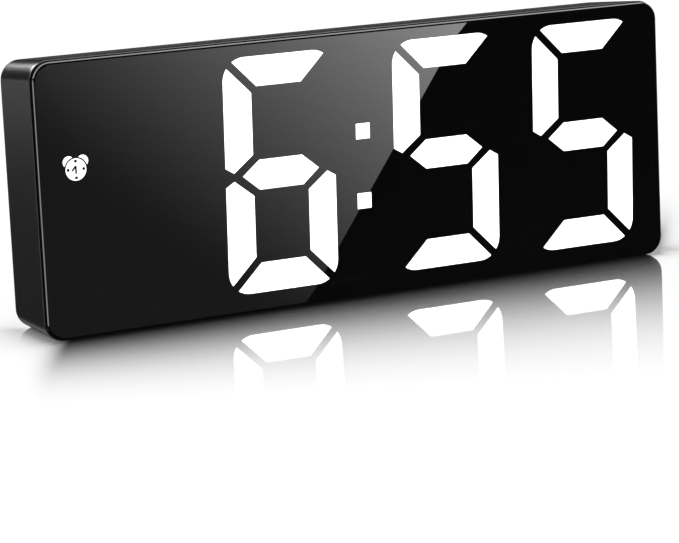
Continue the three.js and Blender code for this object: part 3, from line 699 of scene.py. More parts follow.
def makeCover():
    # a drafted panel with a lipped opening for each control, and a stepped well: scoop and door recess,
    # ledge, tongue notches, then the cell bay, all closed by the tray's outer walls
    c, outline, innerY = cover, caseOutline(), coverY - cover["thick"]
    edge = quarterRound(c["edge"], coverY, -1, 4)
    rim = np.stack([drafted(lift(outline(c["inset"] + i), y)) for i, y in edge + [(0.0, innerY)]])
    (bx0, bx1), (bz0, bz1), (dx0, dx1), (dz0, dz1) = c["bayX"], c["bayZ"], c["doorX"], c["doorZ"]
    (sx0, sx1), up = c["scoopX"], c["scoopTall"]
    (ux, uz), (uw, uh), (bzX, bzZ) = c["usb"], c["usbHalf"], c["soundAt"]
    through = [circle(x, c["buttonZ"], c["buttonHole"], 56) for x in c["buttonX"]]
    through.append(roundedRect(*c["slotX"], *c["slotZ"], c["slotRound"], 4))
    through.append(roundedRect(ux - uw, ux + uw, uz - uh, uz + uh, c["usbRound"], 8))
    ring = [(0.0, 0.0)]
    ring += [(c["soundRing"] * math.cos(k * math.pi / 3), c["soundRing"] * math.sin(k * math.pi / 3))
             for k in range(6)]
    through += [circle(bzX + x, bzZ + z, c["soundHole"], 24) for x, z in ring]
    through.append(circle(*c["sensorAt"], c["soundHole"], 24))
    posts = [(x, z) for x in (-c["postX"], c["postX"]) for z in c["postZ"]]
    seats = [circle(x, z, c["seat"], 40) for x, z in posts]
    shanks = [circle(x, z, c["shank"], 24) for x, z in posts]
    recess = polygon([(dx0, dz0), (dx1, dz0), (dx1, dz1), (sx1, dz1), (sx1, dz1 + up), (sx0, dz1 + up),
                      (sx0, dz1), (dx0, dz1)], c["scoopRound"], 4)
    gap, half, low = c["step"], c["notchHalf"], c["notchZ"]
    sides = [x + d for x in c["tongueX"] for d in (-half, half)]
    step = corners((dx0 + gap, dz0 + gap), *[(x, dz0 + gap) for x in sides], (dx1 - gap, dz0 + gap),
                   (dx1 - gap, dz1 - gap), (dx0 + gap, dz1 - gap))
    notched = [(bx0, bz0)]
    for x in c["tongueX"]:
        notched += [(x - half, bz0), (x - half, dz0 + gap), (x - half, low), (x + half, low),
                    (x + half, dz0 + gap), (x + half, bz0)]
    mouth = corners(*notched, (bx1, bz0), (bx1, bz1), (bx0, bz1))
    well = boxCorners(bx0 + gap, bx1 - gap, bz0 + gap, bz1 - gap)
    t, k = c["bayWall"], c["pocket"]
    pockets = [(bx0 - t, bz0 - t)]
    for x in c["tongueX"]:
        pockets += [(x - half - k, bz0 - t), (x - half - k, low - k), (x + half + k, low - k),
                    (x + half + k, bz0 - t)]
    trayRim = corners(*pockets, (bx1 + t, bz0 - t), (bx1 + t, bz1 + t), (bx0 - t, bz1 + t))
    tray = boxCorners(bx0 - t + gap, bx1 + t - gap, bz0 - t + gap, bz1 + t - gap)
    lip = quarterRound(c["lip"], coverY, -1, 3)
    wide = -lip[0][0]
    scoopY, seatY, floorY = coverY - c["scoopDeep"], coverY - c["seatDeep"], c["bayY"]
    ledgeY, notchY, pocketY, trayY = c["ledgeY"], c["notchY"], c["notchY"] - k, c["bayY"] - k
    parts = [strip(rim)]
    parts += [lipped(hole, lip, innerY) for hole in through] + [lipped(seat, lip, seatY) for seat in seats]
    for seat, shank in zip(seats, shanks):
        parts += [level(seatY, seat(), [shank()]), wallOf(shank(), seatY, innerY)]
    parts += [lipped(recess, lip, scoopY), level(scoopY, recess(), [step()]), wallOf(step(), scoopY, ledgeY),
              level(ledgeY, step(), [mouth()]), level(ledgeY, mouth(), [step()]),
              wallOf(mouth(), ledgeY, notchY), level(notchY, mouth(), [well()]),
              wallOf(well(), notchY, floorY), level(floorY, well()), wallOf(trayRim(), innerY, pocketY),
              level(pocketY, trayRim(), [tray()]), wallOf(tray(), pocketY, trayY), level(trayY, tray())]
    parts.append(level(coverY, rim[0][:, [0, 2]], [hole(wide) for hole in through + seats + [recess]]))
    parts.append(level(innerY, rim[-1][:, [0, 2]], [hole() for hole in through + shanks + [trayRim]]))
    return makeObject("rearCover", *joinParts(*parts), flatBelow=30)


finish(makeCover(), rearAbs, "case_abs", "case", "rear_cover")

door = dict(gap=0.3, thick=1.2, edge=0.2, innerEdge=0.1, corner=0.5, grooveX=(-41.0, -32.0),
            grooveDeep=0.4, grooveTall=0.6, grooveRound=0.28, grooveLip=0.12, groovePitch=1.4,
            grooveFirst=3.0, tongueHalf=2.5, tongueDeep=1.3, footThick=0.6)


def makeDoor():
    # flat plate with rounded edges and three sunk grip grooves; each tongue is an upright and a foot
    (x0, x1), (z0, z1), g = cover["doorX"], cover["doorZ"], door["gap"]
    low, high, y0 = z0 + g, z1 - g, coverY - door["thick"]
    plate = roundedRect(x0 + g, x1 - g, low, high, door["corner"], 5)
    grooves = [roundedRect(*door["grooveX"], z, z + door["grooveTall"], door["grooveRound"], 4)
               for z in high - door["grooveFirst"] - door["groovePitch"] * np.arange(3)]
    lip = quarterRound(door["grooveLip"], coverY, -1, 3)
    floorY = coverY - door["grooveDeep"]
    inner = door["innerEdge"]
    profile = quarterRound(door["edge"], coverY, -1, 4) + quarterRound(inner, y0, 1, 2)[::-1]
    parts = [strip(np.stack([lift(plate(i), y) for i, y in profile])), level(y0, plate(inner))]
    for groove in grooves:
        parts += [lipped(groove, lip, floorY), level(floorY, groove())]
    parts.append(level(coverY, plate(door["edge"]), [groove(-lip[0][0]) for groove in grooves]))
    half, footY = door["tongueHalf"], y0 - door["tongueDeep"]
    for x in cover["tongueX"]:
        parts.append(block(x - half, x + half, footY, y0 + 0.1, low + 0.3, low + 1.3))
        parts.append(block(x - half, x + half, footY, footY + door["footThick"], low - 1.3, low + 0.4))
    return makeObject("batteryDoor", *joinParts(*parts), flatBelow=30)


finish(makeDoor(), rearAbs, "case_abs", "door", "battery_door")

small = dict(knobEdge=0.12, usbEdge=0.1, plateEdge=0.08)
slideKnob = softened("slideKnob", "slide_switch_knob", small["knobEdge"])
finish(slideKnob, buttonAbs, "button_abs", "slide_knob", "slide_switch_knob")
usbShell = softened("usbShell", "usb_socket", small["usbEdge"], 2)
finish(usbShell, nickelPlate, "plated_steel", "case", "usb_socket")
usbTongue = softened("usbTongue", "usb_tongue", small["plateEdge"], 2)
finish(usbTongue, chipEpoxy, "chip_black", "case", "usb_tongue")
for node in ("contact_negative", "contact_bridge_low", "contact_bridge_high", "contact_positive"):
    camel = "cell" + "".join(word.capitalize() for word in node.split("_"))
    finish(softened(camel, node, small["plateEdge"], 2), nickelPlate, "plated_steel", "case", node)

buttonKeys = ("set", "mode", "up", "down")
marks = dict(size=1.5, hole=0.62, proud=0.14, sunk=0.05, edge=0.05, z=50.2, barHalf=0.22,
             bars=(-0.95, 0.0, 0.95), soft=0.2, slideX=63.7, slideZ=49.4, dots=((-3, 0.35), (3, 0.7)))


def raisedMark(loops, holes=()):
    top = coverY + marks["proud"]
    edge = quarterRound(marks["edge"], top, -1, 2)
    return slab(loops, list(holes), coverY - marks["sunk"], top, None, edge)


def makeMarks():
    # generic symbols over the controls: ring, bars, up and down triangles, and two dots for the switch
    size, z, half, soft = marks["size"], marks["z"], marks["barHalf"], marks["soft"]
    x = dict(zip(buttonKeys, cover["buttonX"]))
    triangle = np.array([[-size, -size * 0.8], [size, -size * 0.8], [0, size * 0.9]])
    parts = [raisedMark(circle(x["set"], z, size, 40), [circle(x["set"], z, size * marks["hole"], 40)])]
    for dz in marks["bars"]:
        parts.append(raisedMark(roundedRect(x["mode"] - size, x["mode"] + size, z + dz - half, z + dz + half,
                                            soft, 4)))
    parts.append(raisedMark(polygon(triangle + [x["up"], z], soft, 4)))
    parts.append(raisedMark(polygon(triangle * [1, -1] + [x["down"], z], soft, 4)))
    parts += [raisedMark(circle(marks["slideX"] + dx, marks["slideZ"], r, 24)) for dx, r in marks["dots"]]
    return makeObject("coverMarks", *joinParts(*parts), weighted=False)


finish(makeMarks(), rearAbs, "case_abs", "case")

button = dict(radius=3.5, edge=0.5, dish=0.16, stem=1.5, flange=4.6, flangeThick=0.9, bevel=0.1, gap=0.3,
              steps=56)


def makeButton(key):
    # turned about Y: stem, retaining flange, cap wall, quarter-round edge, and a shallow dish on top
    low, high = [np.array(p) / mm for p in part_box("button_" + key)]
    centre = (low + high) / 2
    stemY, capY = low[1], high[1]
    flangeRear = coverY - cover["thick"] - button["gap"]
    flangeFront = flangeRear - button["flangeThick"]
    wallR, edge = button["radius"], button["edge"]
    stem, flange, bevel = button["stem"], button["flange"], button["bevel"]
    turn = np.linspace(0, math.pi / 2, 8)
    rim = [(wallR - edge + edge * math.cos(a), capY - edge + edge * math.sin(a)) for a in turn]
    across = np.linspace(0, 1, 10)[1:]
    dish = [((wallR - edge) * (1 - t), capY - button["dish"] * math.sin(t * math.pi / 2) ** 2)
            for t in across]
    profile = [(0, stemY), (stem - bevel, stemY), (stem, stemY + bevel), (stem, flangeFront),
               (flange - bevel, flangeFront), (flange, flangeFront + bevel), (flange, flangeRear - bevel),
               (flange - bevel, flangeRear), (wallR, flangeRear)]
    vertices, faces = lathe(profile + rim + dish, (centre[0], 0, centre[2]), "y", button["steps"])
    return makeObject(key + "Button", vertices, faces)


for key in buttonKeys:
    finish(makeButton(key), buttonAbs, "button_abs", "key_" + key, "button_" + key)

screw = dict(headRadius=2.1, headHeight=0.9, bevel=0.06, shankRadius=1.0, tipRadius=0.5, tipLength=0.4,
             arm=0.28, armLength=1.25, recess=0.55, dome=0.28)


def makeScrew(name, node):
    # head: a square grid bent to a disc, x = u sqrt(1 - v v / 2), z = v sqrt(1 - u u / 2), with a low dome;
    # grid lines are doubled at the cross so that its walls stand steep. Skirt and shank are turned.
    low, high = [np.array(p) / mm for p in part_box(node)]
    cx, cz = (low[0] + high[0]) / 2, (low[2] + high[2]) / 2
    topY, tipY, r = high[1], low[1], screw["headRadius"]
    a, b, e = screw["arm"] / r, screw["armLength"] / r, 0.02
    half = np.concatenate([np.linspace(0, a - e, 3), np.linspace(a + e, b - e, 6), np.linspace(b + e, 1, 8)])
    line = np.concatenate([-half[:0:-1], half])
    u, v = np.meshgrid(line, line, indexing="ij")
    x, z = u * np.sqrt(1 - v * v / 2), v * np.sqrt(1 - u * u / 2)
    inCross = ((np.abs(u) < a) & (np.abs(v) < b)) | ((np.abs(v) < a) & (np.abs(u) < b))
    distance = x * x + z * z
    y = topY - screw["dome"] * distance - screw["recess"] * inCross * (1 - 0.5 * np.sqrt(distance))
    n = len(line)
    index = np.arange(n * n).reshape(n, n)
    quads = np.stack([index[:-1, :-1], index[1:, :-1], index[1:, 1:], index[:-1, 1:]], 2).reshape(-1, 4)
    grid = np.stack([cx + r * x, y, cz + r * z], 2)
    border = np.concatenate([grid[0, :-1], grid[:-1, -1], grid[-1, :0:-1], grid[:0:-1, 0]])

    def bandAt(radius, level):
        flat = (border - [cx, 0, cz]) * [radius / r, 0, radius / r]
        return flat + [cx, level, cz]

    floorY = topY - screw["headHeight"]
    shank, bevel = screw["shankRadius"], screw["bevel"]
    rings = [border, bandAt(r, floorY + bevel), bandAt(r - bevel, floorY), bandAt(shank, floorY),
             bandAt(shank, tipY + screw["tipLength"]), bandAt(screw["tipRadius"], tipY), bandAt(0.0, tipY)]
    return makeObject(name, *joinParts((grid.reshape(-1, 3), quads), strip(np.stack(rings))), flatBelow=30)


for n in (1, 2, 3, 4):
    finish(makeScrew("coverScrew%d" % n, "cover_screw_%d" % n), blackZinc, "screw_steel", "case",
           "cover_screw_%d" % n)

cell = dict(radius=5.25, length=44.5, nubRadius=1.9, nubLength=1.0, steps=64)


def makeCell(n, facing):
    # turned about X: steel base, film-wrapped can with a rolled rim at each end, insulating ring and nub
    low, high = [np.array(p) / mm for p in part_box("battery_cell_%d" % n)]
    centre = (low + high) / 2
    r, body = cell["radius"], cell["length"] - cell["nubLength"]
    turn = np.linspace(0, math.pi / 2, 5)
    base = [(0, 0.25), (3.3, 0.25), (3.5, 0.0), (4.3, 0.0)]
    base += [(r - 0.55 + 0.55 * math.sin(a), 0.55 - 0.55 * math.cos(a)) for a in turn]
    shoulder = [(r - 0.6 + 0.6 * math.cos(a), body - 0.6 + 0.6 * math.sin(a)) for a in turn]
    top = [(4.3, body), (4.1, body - 0.25), (2.3, body - 0.25), (2.1, body), (cell["nubRadius"], body)]
    tip = [(cell["nubRadius"], cell["length"] - 0.2), (cell["nubRadius"] - 0.2, cell["length"]),
           (0, cell["length"])]
    wall = [(r, y) for y in np.linspace(1.0, body - 1.0, 12)]
    profile = np.array(base + wall + shoulder + top + tip)
    along = profile[:, 1].copy()
    start = low[0] if facing > 0 else high[0]
    profile[:, 1] = start + facing * profile[:, 1]
    vertices, faces = lathe(profile, (0, centre[1], centre[2]), "x", cell["steps"])
    piece = makeObject("cell%d" % n, vertices, faces)
    spots = np.empty(len(piece.data.vertices) * 3, np.float32)
    piece.data.vertices.foreach_get("co", spots)
    spots = spots[::3] / mm
    layer = piece.data.attributes.new("along", "FLOAT", "POINT")
    layer.data.foreach_set("value", (np.abs(spots - start) / cell["length"]).astype(np.float32))
    return piece


for n, facing in ((1, 1), (2, -1), (3, 1)):
    finish(makeCell(n, facing), cellJacket, "cell_jacket", "case", "battery_cell_%d" % n)

spring = dict(turns=3.6, wire=0.36, clear=0.02, wide=3.4, narrow=2.1, flatEnd=0.12, steps=150)


def makeSpring(n):
    # cone helix: the radius shrinks evenly from the plate to the cell while the angle grows evenly, and
    # the first and last stretch of the wire lie flat
    low, high = [np.array(p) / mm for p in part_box("contact_spring_%d" % n)]
    centre = (low + high) / 2
    cellLow, cellHigh = [np.array(p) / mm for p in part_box("battery_cell_%d" % n)]
    t = np.linspace(0, 1, spring["steps"])
    near, far = low[0] + spring["wire"], high[0] - spring["wire"]
    if (cellLow[0] + cellHigh[0]) / 2 < centre[0]:
        near, far = far, near
    x = near + (far - near) * np.clip((t - spring["flatEnd"]) / (1 - 2 * spring["flatEnd"]), 0, 1)
    r = spring["wide"] + (spring["narrow"] - spring["wide"]) * t
    turn = t * spring["turns"] * 2 * math.pi
    path = np.stack([x, centre[1] + r * np.cos(turn), centre[2] + r * np.sin(turn)], 1)
    wire = tube(path, spring["wire"] - spring["clear"], 10)
    return makeObject("contactSpring%d" % n, *wire, flatBelow=60)


for n in (1, 2, 3):
    finish(makeSpring(n), nickelPlate, "plated_steel", "case", "contact_spring_%d" % n)
print("rear made")


kept = {
    foamTape: ["lens_tape"],
    chipEpoxy: ["reflector_frame", "clock_chip", "led_driver_chip", "filter_capacitor", "buzzer"]
              + ["tact_switch_" + n for n in buttonKeys],
    unlitResin: ["diffuser_hour_tens"],
    boardMask: ["display_board", "power_board"],
    buttonAbs: ["tact_plunger_" + n for n in buttonKeys],
    nickelPlate: ["crystal", "sound_sensor", "slide_switch_body"],
    blackZinc: ["board_screw_%d" % n for n in (1, 2, 3, 4)],
    wireRedPvc: ["battery_wire_red", "power_wire_red"],
    wireBlackPvc: ["battery_wire_black", "power_wire_black"],
}
for material, names in kept.items():
    for name in names:
        nodes[name].data.materials.clear()
        nodes[name].data.materials.append(material)
print("kept parts given their materials")


# shade and halo values set two shadows painted into the floor, not thrown by any light
studio = dict(floorHalf=6.0, floorTone="9b9b9b", floorGlow=0.72, mirrorPeak=0.985, mirrorReach=50.0,
              mirrorSpread=0.25, mirrorPower=1.5, mirrorSides=7.0, mirrorRear=4.0, mirrorLean=0.53,
              mirrorShift=(0.8, 0.0), mirrorInset=5.1, mirrorLeast=0.02, mirrorTint=0.97,
              mirrorRoughness=0.03, shadeDepth=0.55, shadeReach=4.0, shadeShift=(3.0, 0.0),
              shadeHalf=(83.0, 9.0), paintedShadowHaloDepth=0.6, paintedShadowHaloReach=2.5, paintedShadowHaloHalf=(80.0, 11.0), paintedShadowHaloRear=0.12,
              paintedShadowHaloLean=0.72, dome=1.0, glossFront=0.02, glossLowRear=0.015, glossHighRear=0.32,
              cardDistance=0.9, cardHeight=0.03)


def makeFloor():
    # light table: near the clock it mirrors with strength exp(-(distance / reach) ^ power), where the
    # distance is taken outside the clock's footprint and the reach grows towards +X. A painted contact shade
    # darkens the floor's colour and glow over a few millimetres, and a painted shadow halo that leans to +X
    # behind the clock also dims the mirror; no light throws either shadow.
    half = studio["floorHalf"] / mm
    corners = [(-half, -half, 0), (half, -half, 0), (half, half, 0), (-half, half, 0)]
    floor = makeObject("studioFloor", corners, [(0, 1, 2, 3)], weighted=False)
    if floor.data.polygons[0].normal.z < 0:
        floor.data.flip_normals()
    material, tree, shader = plainShader("floorSheet", Roughness=1.0)
    shader.inputs["Specular IOR Level"].default_value = 0.0
    shader.inputs["Emission Strength"].default_value = studio["floorGlow"]
    place = addNode(tree, "ShaderNodeTexCoord")

    def distance(half, shift=(0, 0), sides=1.0, rear=1.0, lean=0.0, rearLean=0.0):
        # how far a floor point lies outside a rectangle of these half sizes, in metres; sides and rear
        # stretch the measure beside and behind it, lean carries its sides outwards in front of it, and
        # rearLean carries them to +X behind its front edge
        moved = addNode(tree, "ShaderNodeVectorMath",
                        {"operation": "SUBTRACT", 1: (shift[0] * mm, shift[1] * mm, 0)},
                        [(place.outputs["Object"], 0)])
        axis = addNode(tree, "ShaderNodeSeparateXYZ", {}, [(moved.outputs["Vector"], 0)])
        ahead = addNode(tree, "ShaderNodeMath", {"operation": "MULTIPLY_ADD", 1: -1.0, 2: -half[1] * mm},
                        [(axis.outputs["Y"], 0)])
        front = addNode(tree, "ShaderNodeMath", {"operation": "MAXIMUM", 1: 0.0},
                        [(ahead.outputs["Value"], 0)])
        astern = addNode(tree, "ShaderNodeMath",
                         {"operation": "MULTIPLY_ADD", 1: rear, 2: -half[1] * rear * mm},
                         [(axis.outputs["Y"], 0)])
        inner = addNode(tree, "ShaderNodeMath", {"operation": "ADD", 1: half[1] * mm},
                        [(axis.outputs["Y"], 0)])
        aft = addNode(tree, "ShaderNodeMath", {"operation": "MAXIMUM", 1: 0.0},
                      [(inner.outputs["Value"], 0)])
        slid = addNode(tree, "ShaderNodeMath", {"operation": "MULTIPLY_ADD", 1: -rearLean},
                       [(aft.outputs["Value"], 0), (axis.outputs["X"], 2)])
        leant = addNode(tree, "ShaderNodeMath", {"operation": "MULTIPLY_ADD", 1: lean},
                        [(front.outputs["Value"], 0), (slid.outputs["Value"], 2)])
        width = addNode(tree, "ShaderNodeMath", {"operation": "ABSOLUTE"}, [(leant.outputs["Value"], 0)])
        past = addNode(tree, "ShaderNodeMath",
                       {"operation": "MULTIPLY_ADD", 1: sides, 2: -half[0] * sides * mm},
                       [(width.outputs["Value"], 0)])
        both = addNode(tree, "ShaderNodeCombineXYZ", {},
                       [(past.outputs["Value"], "X"), (ahead.outputs["Value"], "Y"),
                        (astern.outputs["Value"], "Z")])
        outside = addNode(tree, "ShaderNodeVectorMath", {"operation": "MAXIMUM", 1: (0, 0, 0)},
                          [(both.outputs["Vector"], 0)])
        return addNode(tree, "ShaderNodeVectorMath", {"operation": "LENGTH"},
                       [(outside.outputs["Vector"], 0)])

    away = distance((halfWidth - studio["mirrorInset"], -lensFrontY - 1), studio["mirrorShift"],
                    studio["mirrorSides"], studio["mirrorRear"], studio["mirrorLean"])
    near = distance(studio["shadeHalf"], studio["shadeShift"])
    # distance for the painted shadow halo, stretched behind the clock and leant to +X
    around = distance(studio["paintedShadowHaloHalf"], rear=studio["paintedShadowHaloRear"], rearLean=studio["paintedShadowHaloLean"])

    def paintedShadowFalloff(reachMm, depth, measure):
        # painted shadow strength: depth times exp(-distance / reach)
        steps = addNode(tree, "ShaderNodeMath", {"operation": "MULTIPLY", 1: -1 / (reachMm * mm)},
                        [(measure.outputs["Value"], 0)])
        power = addNode(tree, "ShaderNodeMath", {"operation": "EXPONENT"}, [(steps.outputs["Value"], 0)])
        return addNode(tree, "ShaderNodeMath", {"operation": "MULTIPLY", 1: depth},
                       [(power.outputs["Value"], 0)])

    # painted contact shade: the floor darkens by closeness to the footprint, not by any light
    shade = paintedShadowFalloff(studio["shadeReach"], studio["shadeDepth"], near)
    # painted shadow halo: a soft shadow painted into the floor that leans to +X behind the clock; no light
    # throws it
    paintedShadowHalo = paintedShadowFalloff(studio["paintedShadowHaloReach"], studio["paintedShadowHaloDepth"], around)
    # the deeper of the two painted shadows
    depth = addNode(tree, "ShaderNodeMath", {"operation": "MAXIMUM"},
                    [(shade.outputs["Value"], 0), (paintedShadowHalo.outputs["Value"], 1)])
    # painted shadow: the floor's colour and glow are mixed towards black by it
    for socket, colour in (("Base Color", studio["floorTone"]), ("Emission Color", "ffffff")):
        tone = addNode(tree, "ShaderNodeMix", {"data_type": "RGBA", 6: srgb(colour), 7: srgb("000000")},
                       [(depth.outputs["Value"], 0)])
        tree.links.new(tone.outputs[2], shader.inputs[socket])
    axes = addNode(tree, "ShaderNodeSeparateXYZ", {}, [(place.outputs["Object"], 0)])
    reach = addNode(tree, "ShaderNodeMath",
                    {"operation": "MULTIPLY_ADD", 1: studio["mirrorSpread"], 2: studio["mirrorReach"] * mm},
                    [(axes.outputs["X"], 0)])
    least = addNode(tree, "ShaderNodeMath", {"operation": "MAXIMUM", 1: studio["mirrorLeast"]},
                    [(reach.outputs["Value"], 0)])
    ratio = addNode(tree, "ShaderNodeMath", {"operation": "DIVIDE"},
                    [(away.outputs["Value"], 0), (least.outputs["Value"], 1)])
    curve = addNode(tree, "ShaderNodeMath", {"operation": "POWER", 1: studio["mirrorPower"]},
                    [(ratio.outputs["Value"], 0)])
    minus = addNode(tree, "ShaderNodeMath", {"operation": "MULTIPLY", 1: -1.0},
                    [(curve.outputs["Value"], 0)])
    fade = addNode(tree, "ShaderNodeMath", {"operation": "EXPONENT"}, [(minus.outputs["Value"], 0)])
    share = addNode(tree, "ShaderNodeMath", {"operation": "MULTIPLY", 1: studio["mirrorPeak"]},
                    [(fade.outputs["Value"], 0)])
    tint = (studio["mirrorTint"],) * 3 + (1,)
    # the painted shadow halo also darkens the mirror's colour, so it dims what the floor mirrors
    mirrorTintUnderPaintedShadow = addNode(tree, "ShaderNodeMix", {"data_type": "RGBA", 6: tint, 7: (0, 0, 0, 1)},
                    [(paintedShadowHalo.outputs["Value"], 0)])
    mirror = addNode(tree, "ShaderNodeBsdfGlossy", {"Roughness": studio["mirrorRoughness"]},
                     [(mirrorTintUnderPaintedShadow.outputs[2], "Color")])
    mixed = addNode(tree, "ShaderNodeMixShader", {},
                    [(share.outputs["Value"], 0), (shader.outputs["BSDF"], 1), (mirror.outputs["BSDF"], 2)])
    tree.links.new(mixed.outputs["Shader"], tree.nodes["Material Output"].inputs["Surface"])
    floor.data.materials.append(material)
    floor.visible_glossy = False  # no mirror-like ray, from the clock or anything else, sees the floor


def makeWorld():
    # an even white dome lights matt surfaces; what polished ones see of it is nearly black, and paler only
    # high up behind the clock
    world = bpy.data.worlds.new("studioWorld")
    scene.world = world
    world.use_nodes = True
    tree = world.node_tree
    background = tree.nodes["Background"]
    background.inputs["Color"].default_value = (1.0, 1.0, 1.0, 1.0)
    place = addNode(tree, "ShaderNodeTexCoord")
    axes = addNode(tree, "ShaderNodeSeparateXYZ", {}, [(place.outputs["Generated"], 0)])
    above = addNode(tree, "ShaderNodeMapRange",
                    {"interpolation_type": "SMOOTHSTEP", "From Min": 0.5, "From Max": 0.9,
                     "To Min": studio["glossLowRear"], "To Max": studio["glossHighRear"]},
                    [(axes.outputs["Z"], "Value")])
    behind = addNode(tree, "ShaderNodeMapRange",
                     {"interpolation_type": "SMOOTHSTEP", "From Min": -0.3, "From Max": 0.4},
                     [(axes.outputs["Y"], "Value")])
    seen = addNode(tree, "ShaderNodeMix", {"data_type": "FLOAT", 2: studio["glossFront"]},
                   [(behind.outputs["Result"], 0), (above.outputs["Result"], 3)])
    path = addNode(tree, "ShaderNodeLightPath")
    light = addNode(tree, "ShaderNodeMix", {"data_type": "FLOAT", 2: studio["dome"]},
                    [(path.outputs["Is Glossy Ray"], 0), (seen.outputs[0], 3)])
    tree.links.new(light.outputs[0], background.inputs["Strength"])


lookAt = np.array([0.0, 0.0, 0.031])  # cards face the middle of the clock


def glossCard(name, corners, strengthNodes=None, strength=1.0):
    # a lit card that only mirrors see: it throws no light and stays out of the picture, and its back
    # is clear
    spots = np.array(corners)
    if np.cross(spots[1] - spots[0], spots[2] - spots[0]) @ (spots.mean(0) - lookAt) > 0:
        spots = spots[::-1]
    mesh = bpy.data.meshes.new(name)
    mesh.from_pydata(spots.tolist(), [], [tuple(range(len(spots)))])
    card = placed(name, mesh)
    material = bpy.data.materials.new(name)
    material.use_nodes = True
    tree = material.node_tree
    tree.nodes.remove(tree.nodes["Principled BSDF"])
    emission = addNode(tree, "ShaderNodeEmission", {"Strength": strength})
    clear = addNode(tree, "ShaderNodeBsdfTransparent")
    side = addNode(tree, "ShaderNodeNewGeometry")
    mixed = addNode(tree, "ShaderNodeMixShader", {},
                    [(side.outputs["Backfacing"], 0), (emission.outputs["Emission"], 1),
                     (clear.outputs["BSDF"], 2)])
    tree.links.new(mixed.outputs["Shader"], tree.nodes["Material Output"].inputs["Surface"])
    if strengthNodes:
        strengthNodes(tree, emission)
    mesh.materials.append(material)
    card.visible_camera = False
    card.visible_diffuse = False
    card.visible_shadow = False
    card.visible_transmission = False


# the softbox in the lens: its slanted edge crosses the face, and it dims to the left and down. Level and
# least are screen greys out of white that the lens should show, the gradients are greys per metre, and
# mirror is the lens's reflectance.
softbox = dict(y=-0.45, edgeLow=(0.2097, -0.0955), edgeHigh=(0.2874, 0.0107), left=-0.3, below=1.5,
               above=0.1, gradX=487.0, gradZ=595.0, level=43.5, atX=0.1029, atZ=0.0042, least=28.5,
               soft=8.0, white=255.0, gamma=2.2, mirror=0.041)


def softboxStrength(tree, emission):
    # brightness rises evenly to the right and up, and never falls below a least value
    place = addNode(tree, "ShaderNodeNewGeometry")
    slope = addNode(tree, "ShaderNodeVectorMath",
                    {"operation": "DOT_PRODUCT", 1: (softbox["gradX"], 0.0, softbox["gradZ"])},
                    [(place.outputs["Position"], 0)])
    start = softbox["level"] - softbox["gradX"] * softbox["atX"] - softbox["gradZ"] * softbox["atZ"]
    level = addNode(tree, "ShaderNodeMath", {"operation": "ADD", 1: start}, [(slope.outputs["Value"], 0)])
    least = addNode(tree, "ShaderNodeMath",
                    {"operation": "SMOOTH_MAX", 1: softbox["least"], 2: softbox["soft"]},
                    [(level.outputs["Value"], 0)])
    share = addNode(tree, "ShaderNodeMath", {"operation": "DIVIDE", 1: softbox["white"]},
                    [(least.outputs["Value"], 0)])
    linear = addNode(tree, "ShaderNodeMath", {"operation": "POWER", 1: softbox["gamma"]},
                     [(share.outputs["Value"], 0)])
    strength = addNode(tree, "ShaderNodeMath", {"operation": "DIVIDE", 1: softbox["mirror"]},
                       [(linear.outputs["Value"], 0)])
    tree.links.new(strength.outputs["Value"], emission.inputs["Strength"])


def makeSoftbox():
    low, high = np.array(softbox["edgeLow"]), np.array(softbox["edgeHigh"])
    run = high - low
    bottom, top = low - run * softbox["below"], high + run * softbox["above"]
    y = softbox["y"]
    glossCard("lensSoftbox", [(softbox["left"], y, bottom[1]), (bottom[0], y, bottom[1]),
                              (top[0], y, top[1]), (softbox["left"], y, top[1])], softboxStrength)


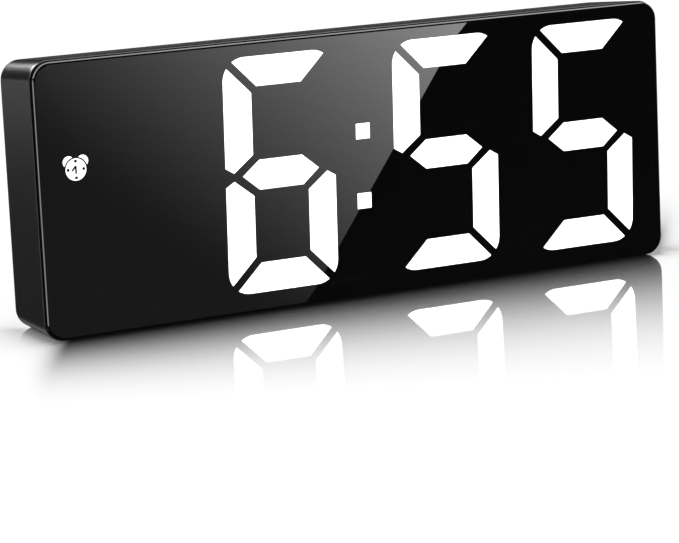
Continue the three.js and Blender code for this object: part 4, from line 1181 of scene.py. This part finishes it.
def facingCard(name, azimuth, elevation, wide, tall, strength):
    # a card square to a direction from the clock; azimuth is measured from +Y towards +X, and the
    # width and height are angles, all in degrees
    turn, rise, distance = math.radians(azimuth), math.radians(elevation), studio["cardDistance"]
    aim = Vector((math.sin(turn) * math.cos(rise), math.cos(turn) * math.cos(rise), math.sin(rise)))
    across = aim.cross(Vector((0, 0, 1))).normalized()
    upward = across.cross(aim)
    centre = aim * distance + Vector((0, 0, studio["cardHeight"]))
    halfWide = distance * math.tan(math.radians(wide / 2))
    halfTall = distance * math.tan(math.radians(tall / 2))
    corners = [tuple(centre + across * sx * halfWide + upward * sz * halfTall)
               for sx, sz in ((-1, -1), (-1, 1), (1, 1), (1, -1))]
    glossCard(name, corners, strength=strength)


def makeCamera():
    # the view: turn and tilt round the clock, a slight roll, a long lens
    view = dict(turn=27.95, tilt=10.48, roll=-2.649, distance=0.6775, aim=(-0.00808, -0.0105, 0.00685),
                lensMm=156.25, sensorMm=36.0, seesTo=50.0)
    turn, tilt, roll = (math.radians(view[k]) for k in ("turn", "tilt", "roll"))
    back = Vector((-math.sin(turn) * math.cos(tilt), -math.cos(turn) * math.cos(tilt), math.sin(tilt)))
    right = Vector((math.cos(turn), -math.sin(turn), 0))
    up = back.cross(right)
    rolledRight = math.cos(roll) * right + math.sin(roll) * up
    rolledUp = -math.sin(roll) * right + math.cos(roll) * up
    data = bpy.data.cameras.new("studioCamera")
    data.lens = view["lensMm"]
    data.sensor_width = view["sensorMm"]
    data.clip_end = view["seesTo"]
    camera = placed("studioCamera", data)
    place = Vector(view["aim"]) + back * view["distance"]
    basis = Matrix((rolledRight, rolledUp, back)).transposed().to_4x4()
    camera.matrix_world = Matrix.Translation(place) @ basis
    scene.camera = camera


makeFloor()
makeWorld()
makeSoftbox()
cards = {
    # name: azimuth, elevation, width, height in degrees, strength
    "rimCard": (-114, -7, 17, 28, 5.6),
    "archCard": (-125, 35, 40, 44, 6.5),
    "roofCard": (-170, 75, 50, 36, 7.0),
    "overheadCard": (112, 60, 60, 30, 7.0),
    "cornerCard": (-14, 28, 22, 16, 11.0),
    "wallCard": (-28, -3.0, 24, 6, 0.45),
    "kickCard": (-15, -27, 40, 9, 0.35),
    "rearFill": (80, 30, 50, 50, 1.2),
}
for name, numbers in cards.items():
    facingCard(name, *numbers)
# a low upright strip a little behind the clock, running far out to +X
panel = dict(left=-0.079, right=0.7, y=0.035, top=0.06)
glossCard("rearPanel", [(panel[side], panel["y"], z) for side, z in (
    ("right", 0.0), ("left", 0.0), ("left", panel["top"]), ("right", panel["top"]))])
makeCamera()
scene.view_settings.view_transform = "Standard"
print("studio made")
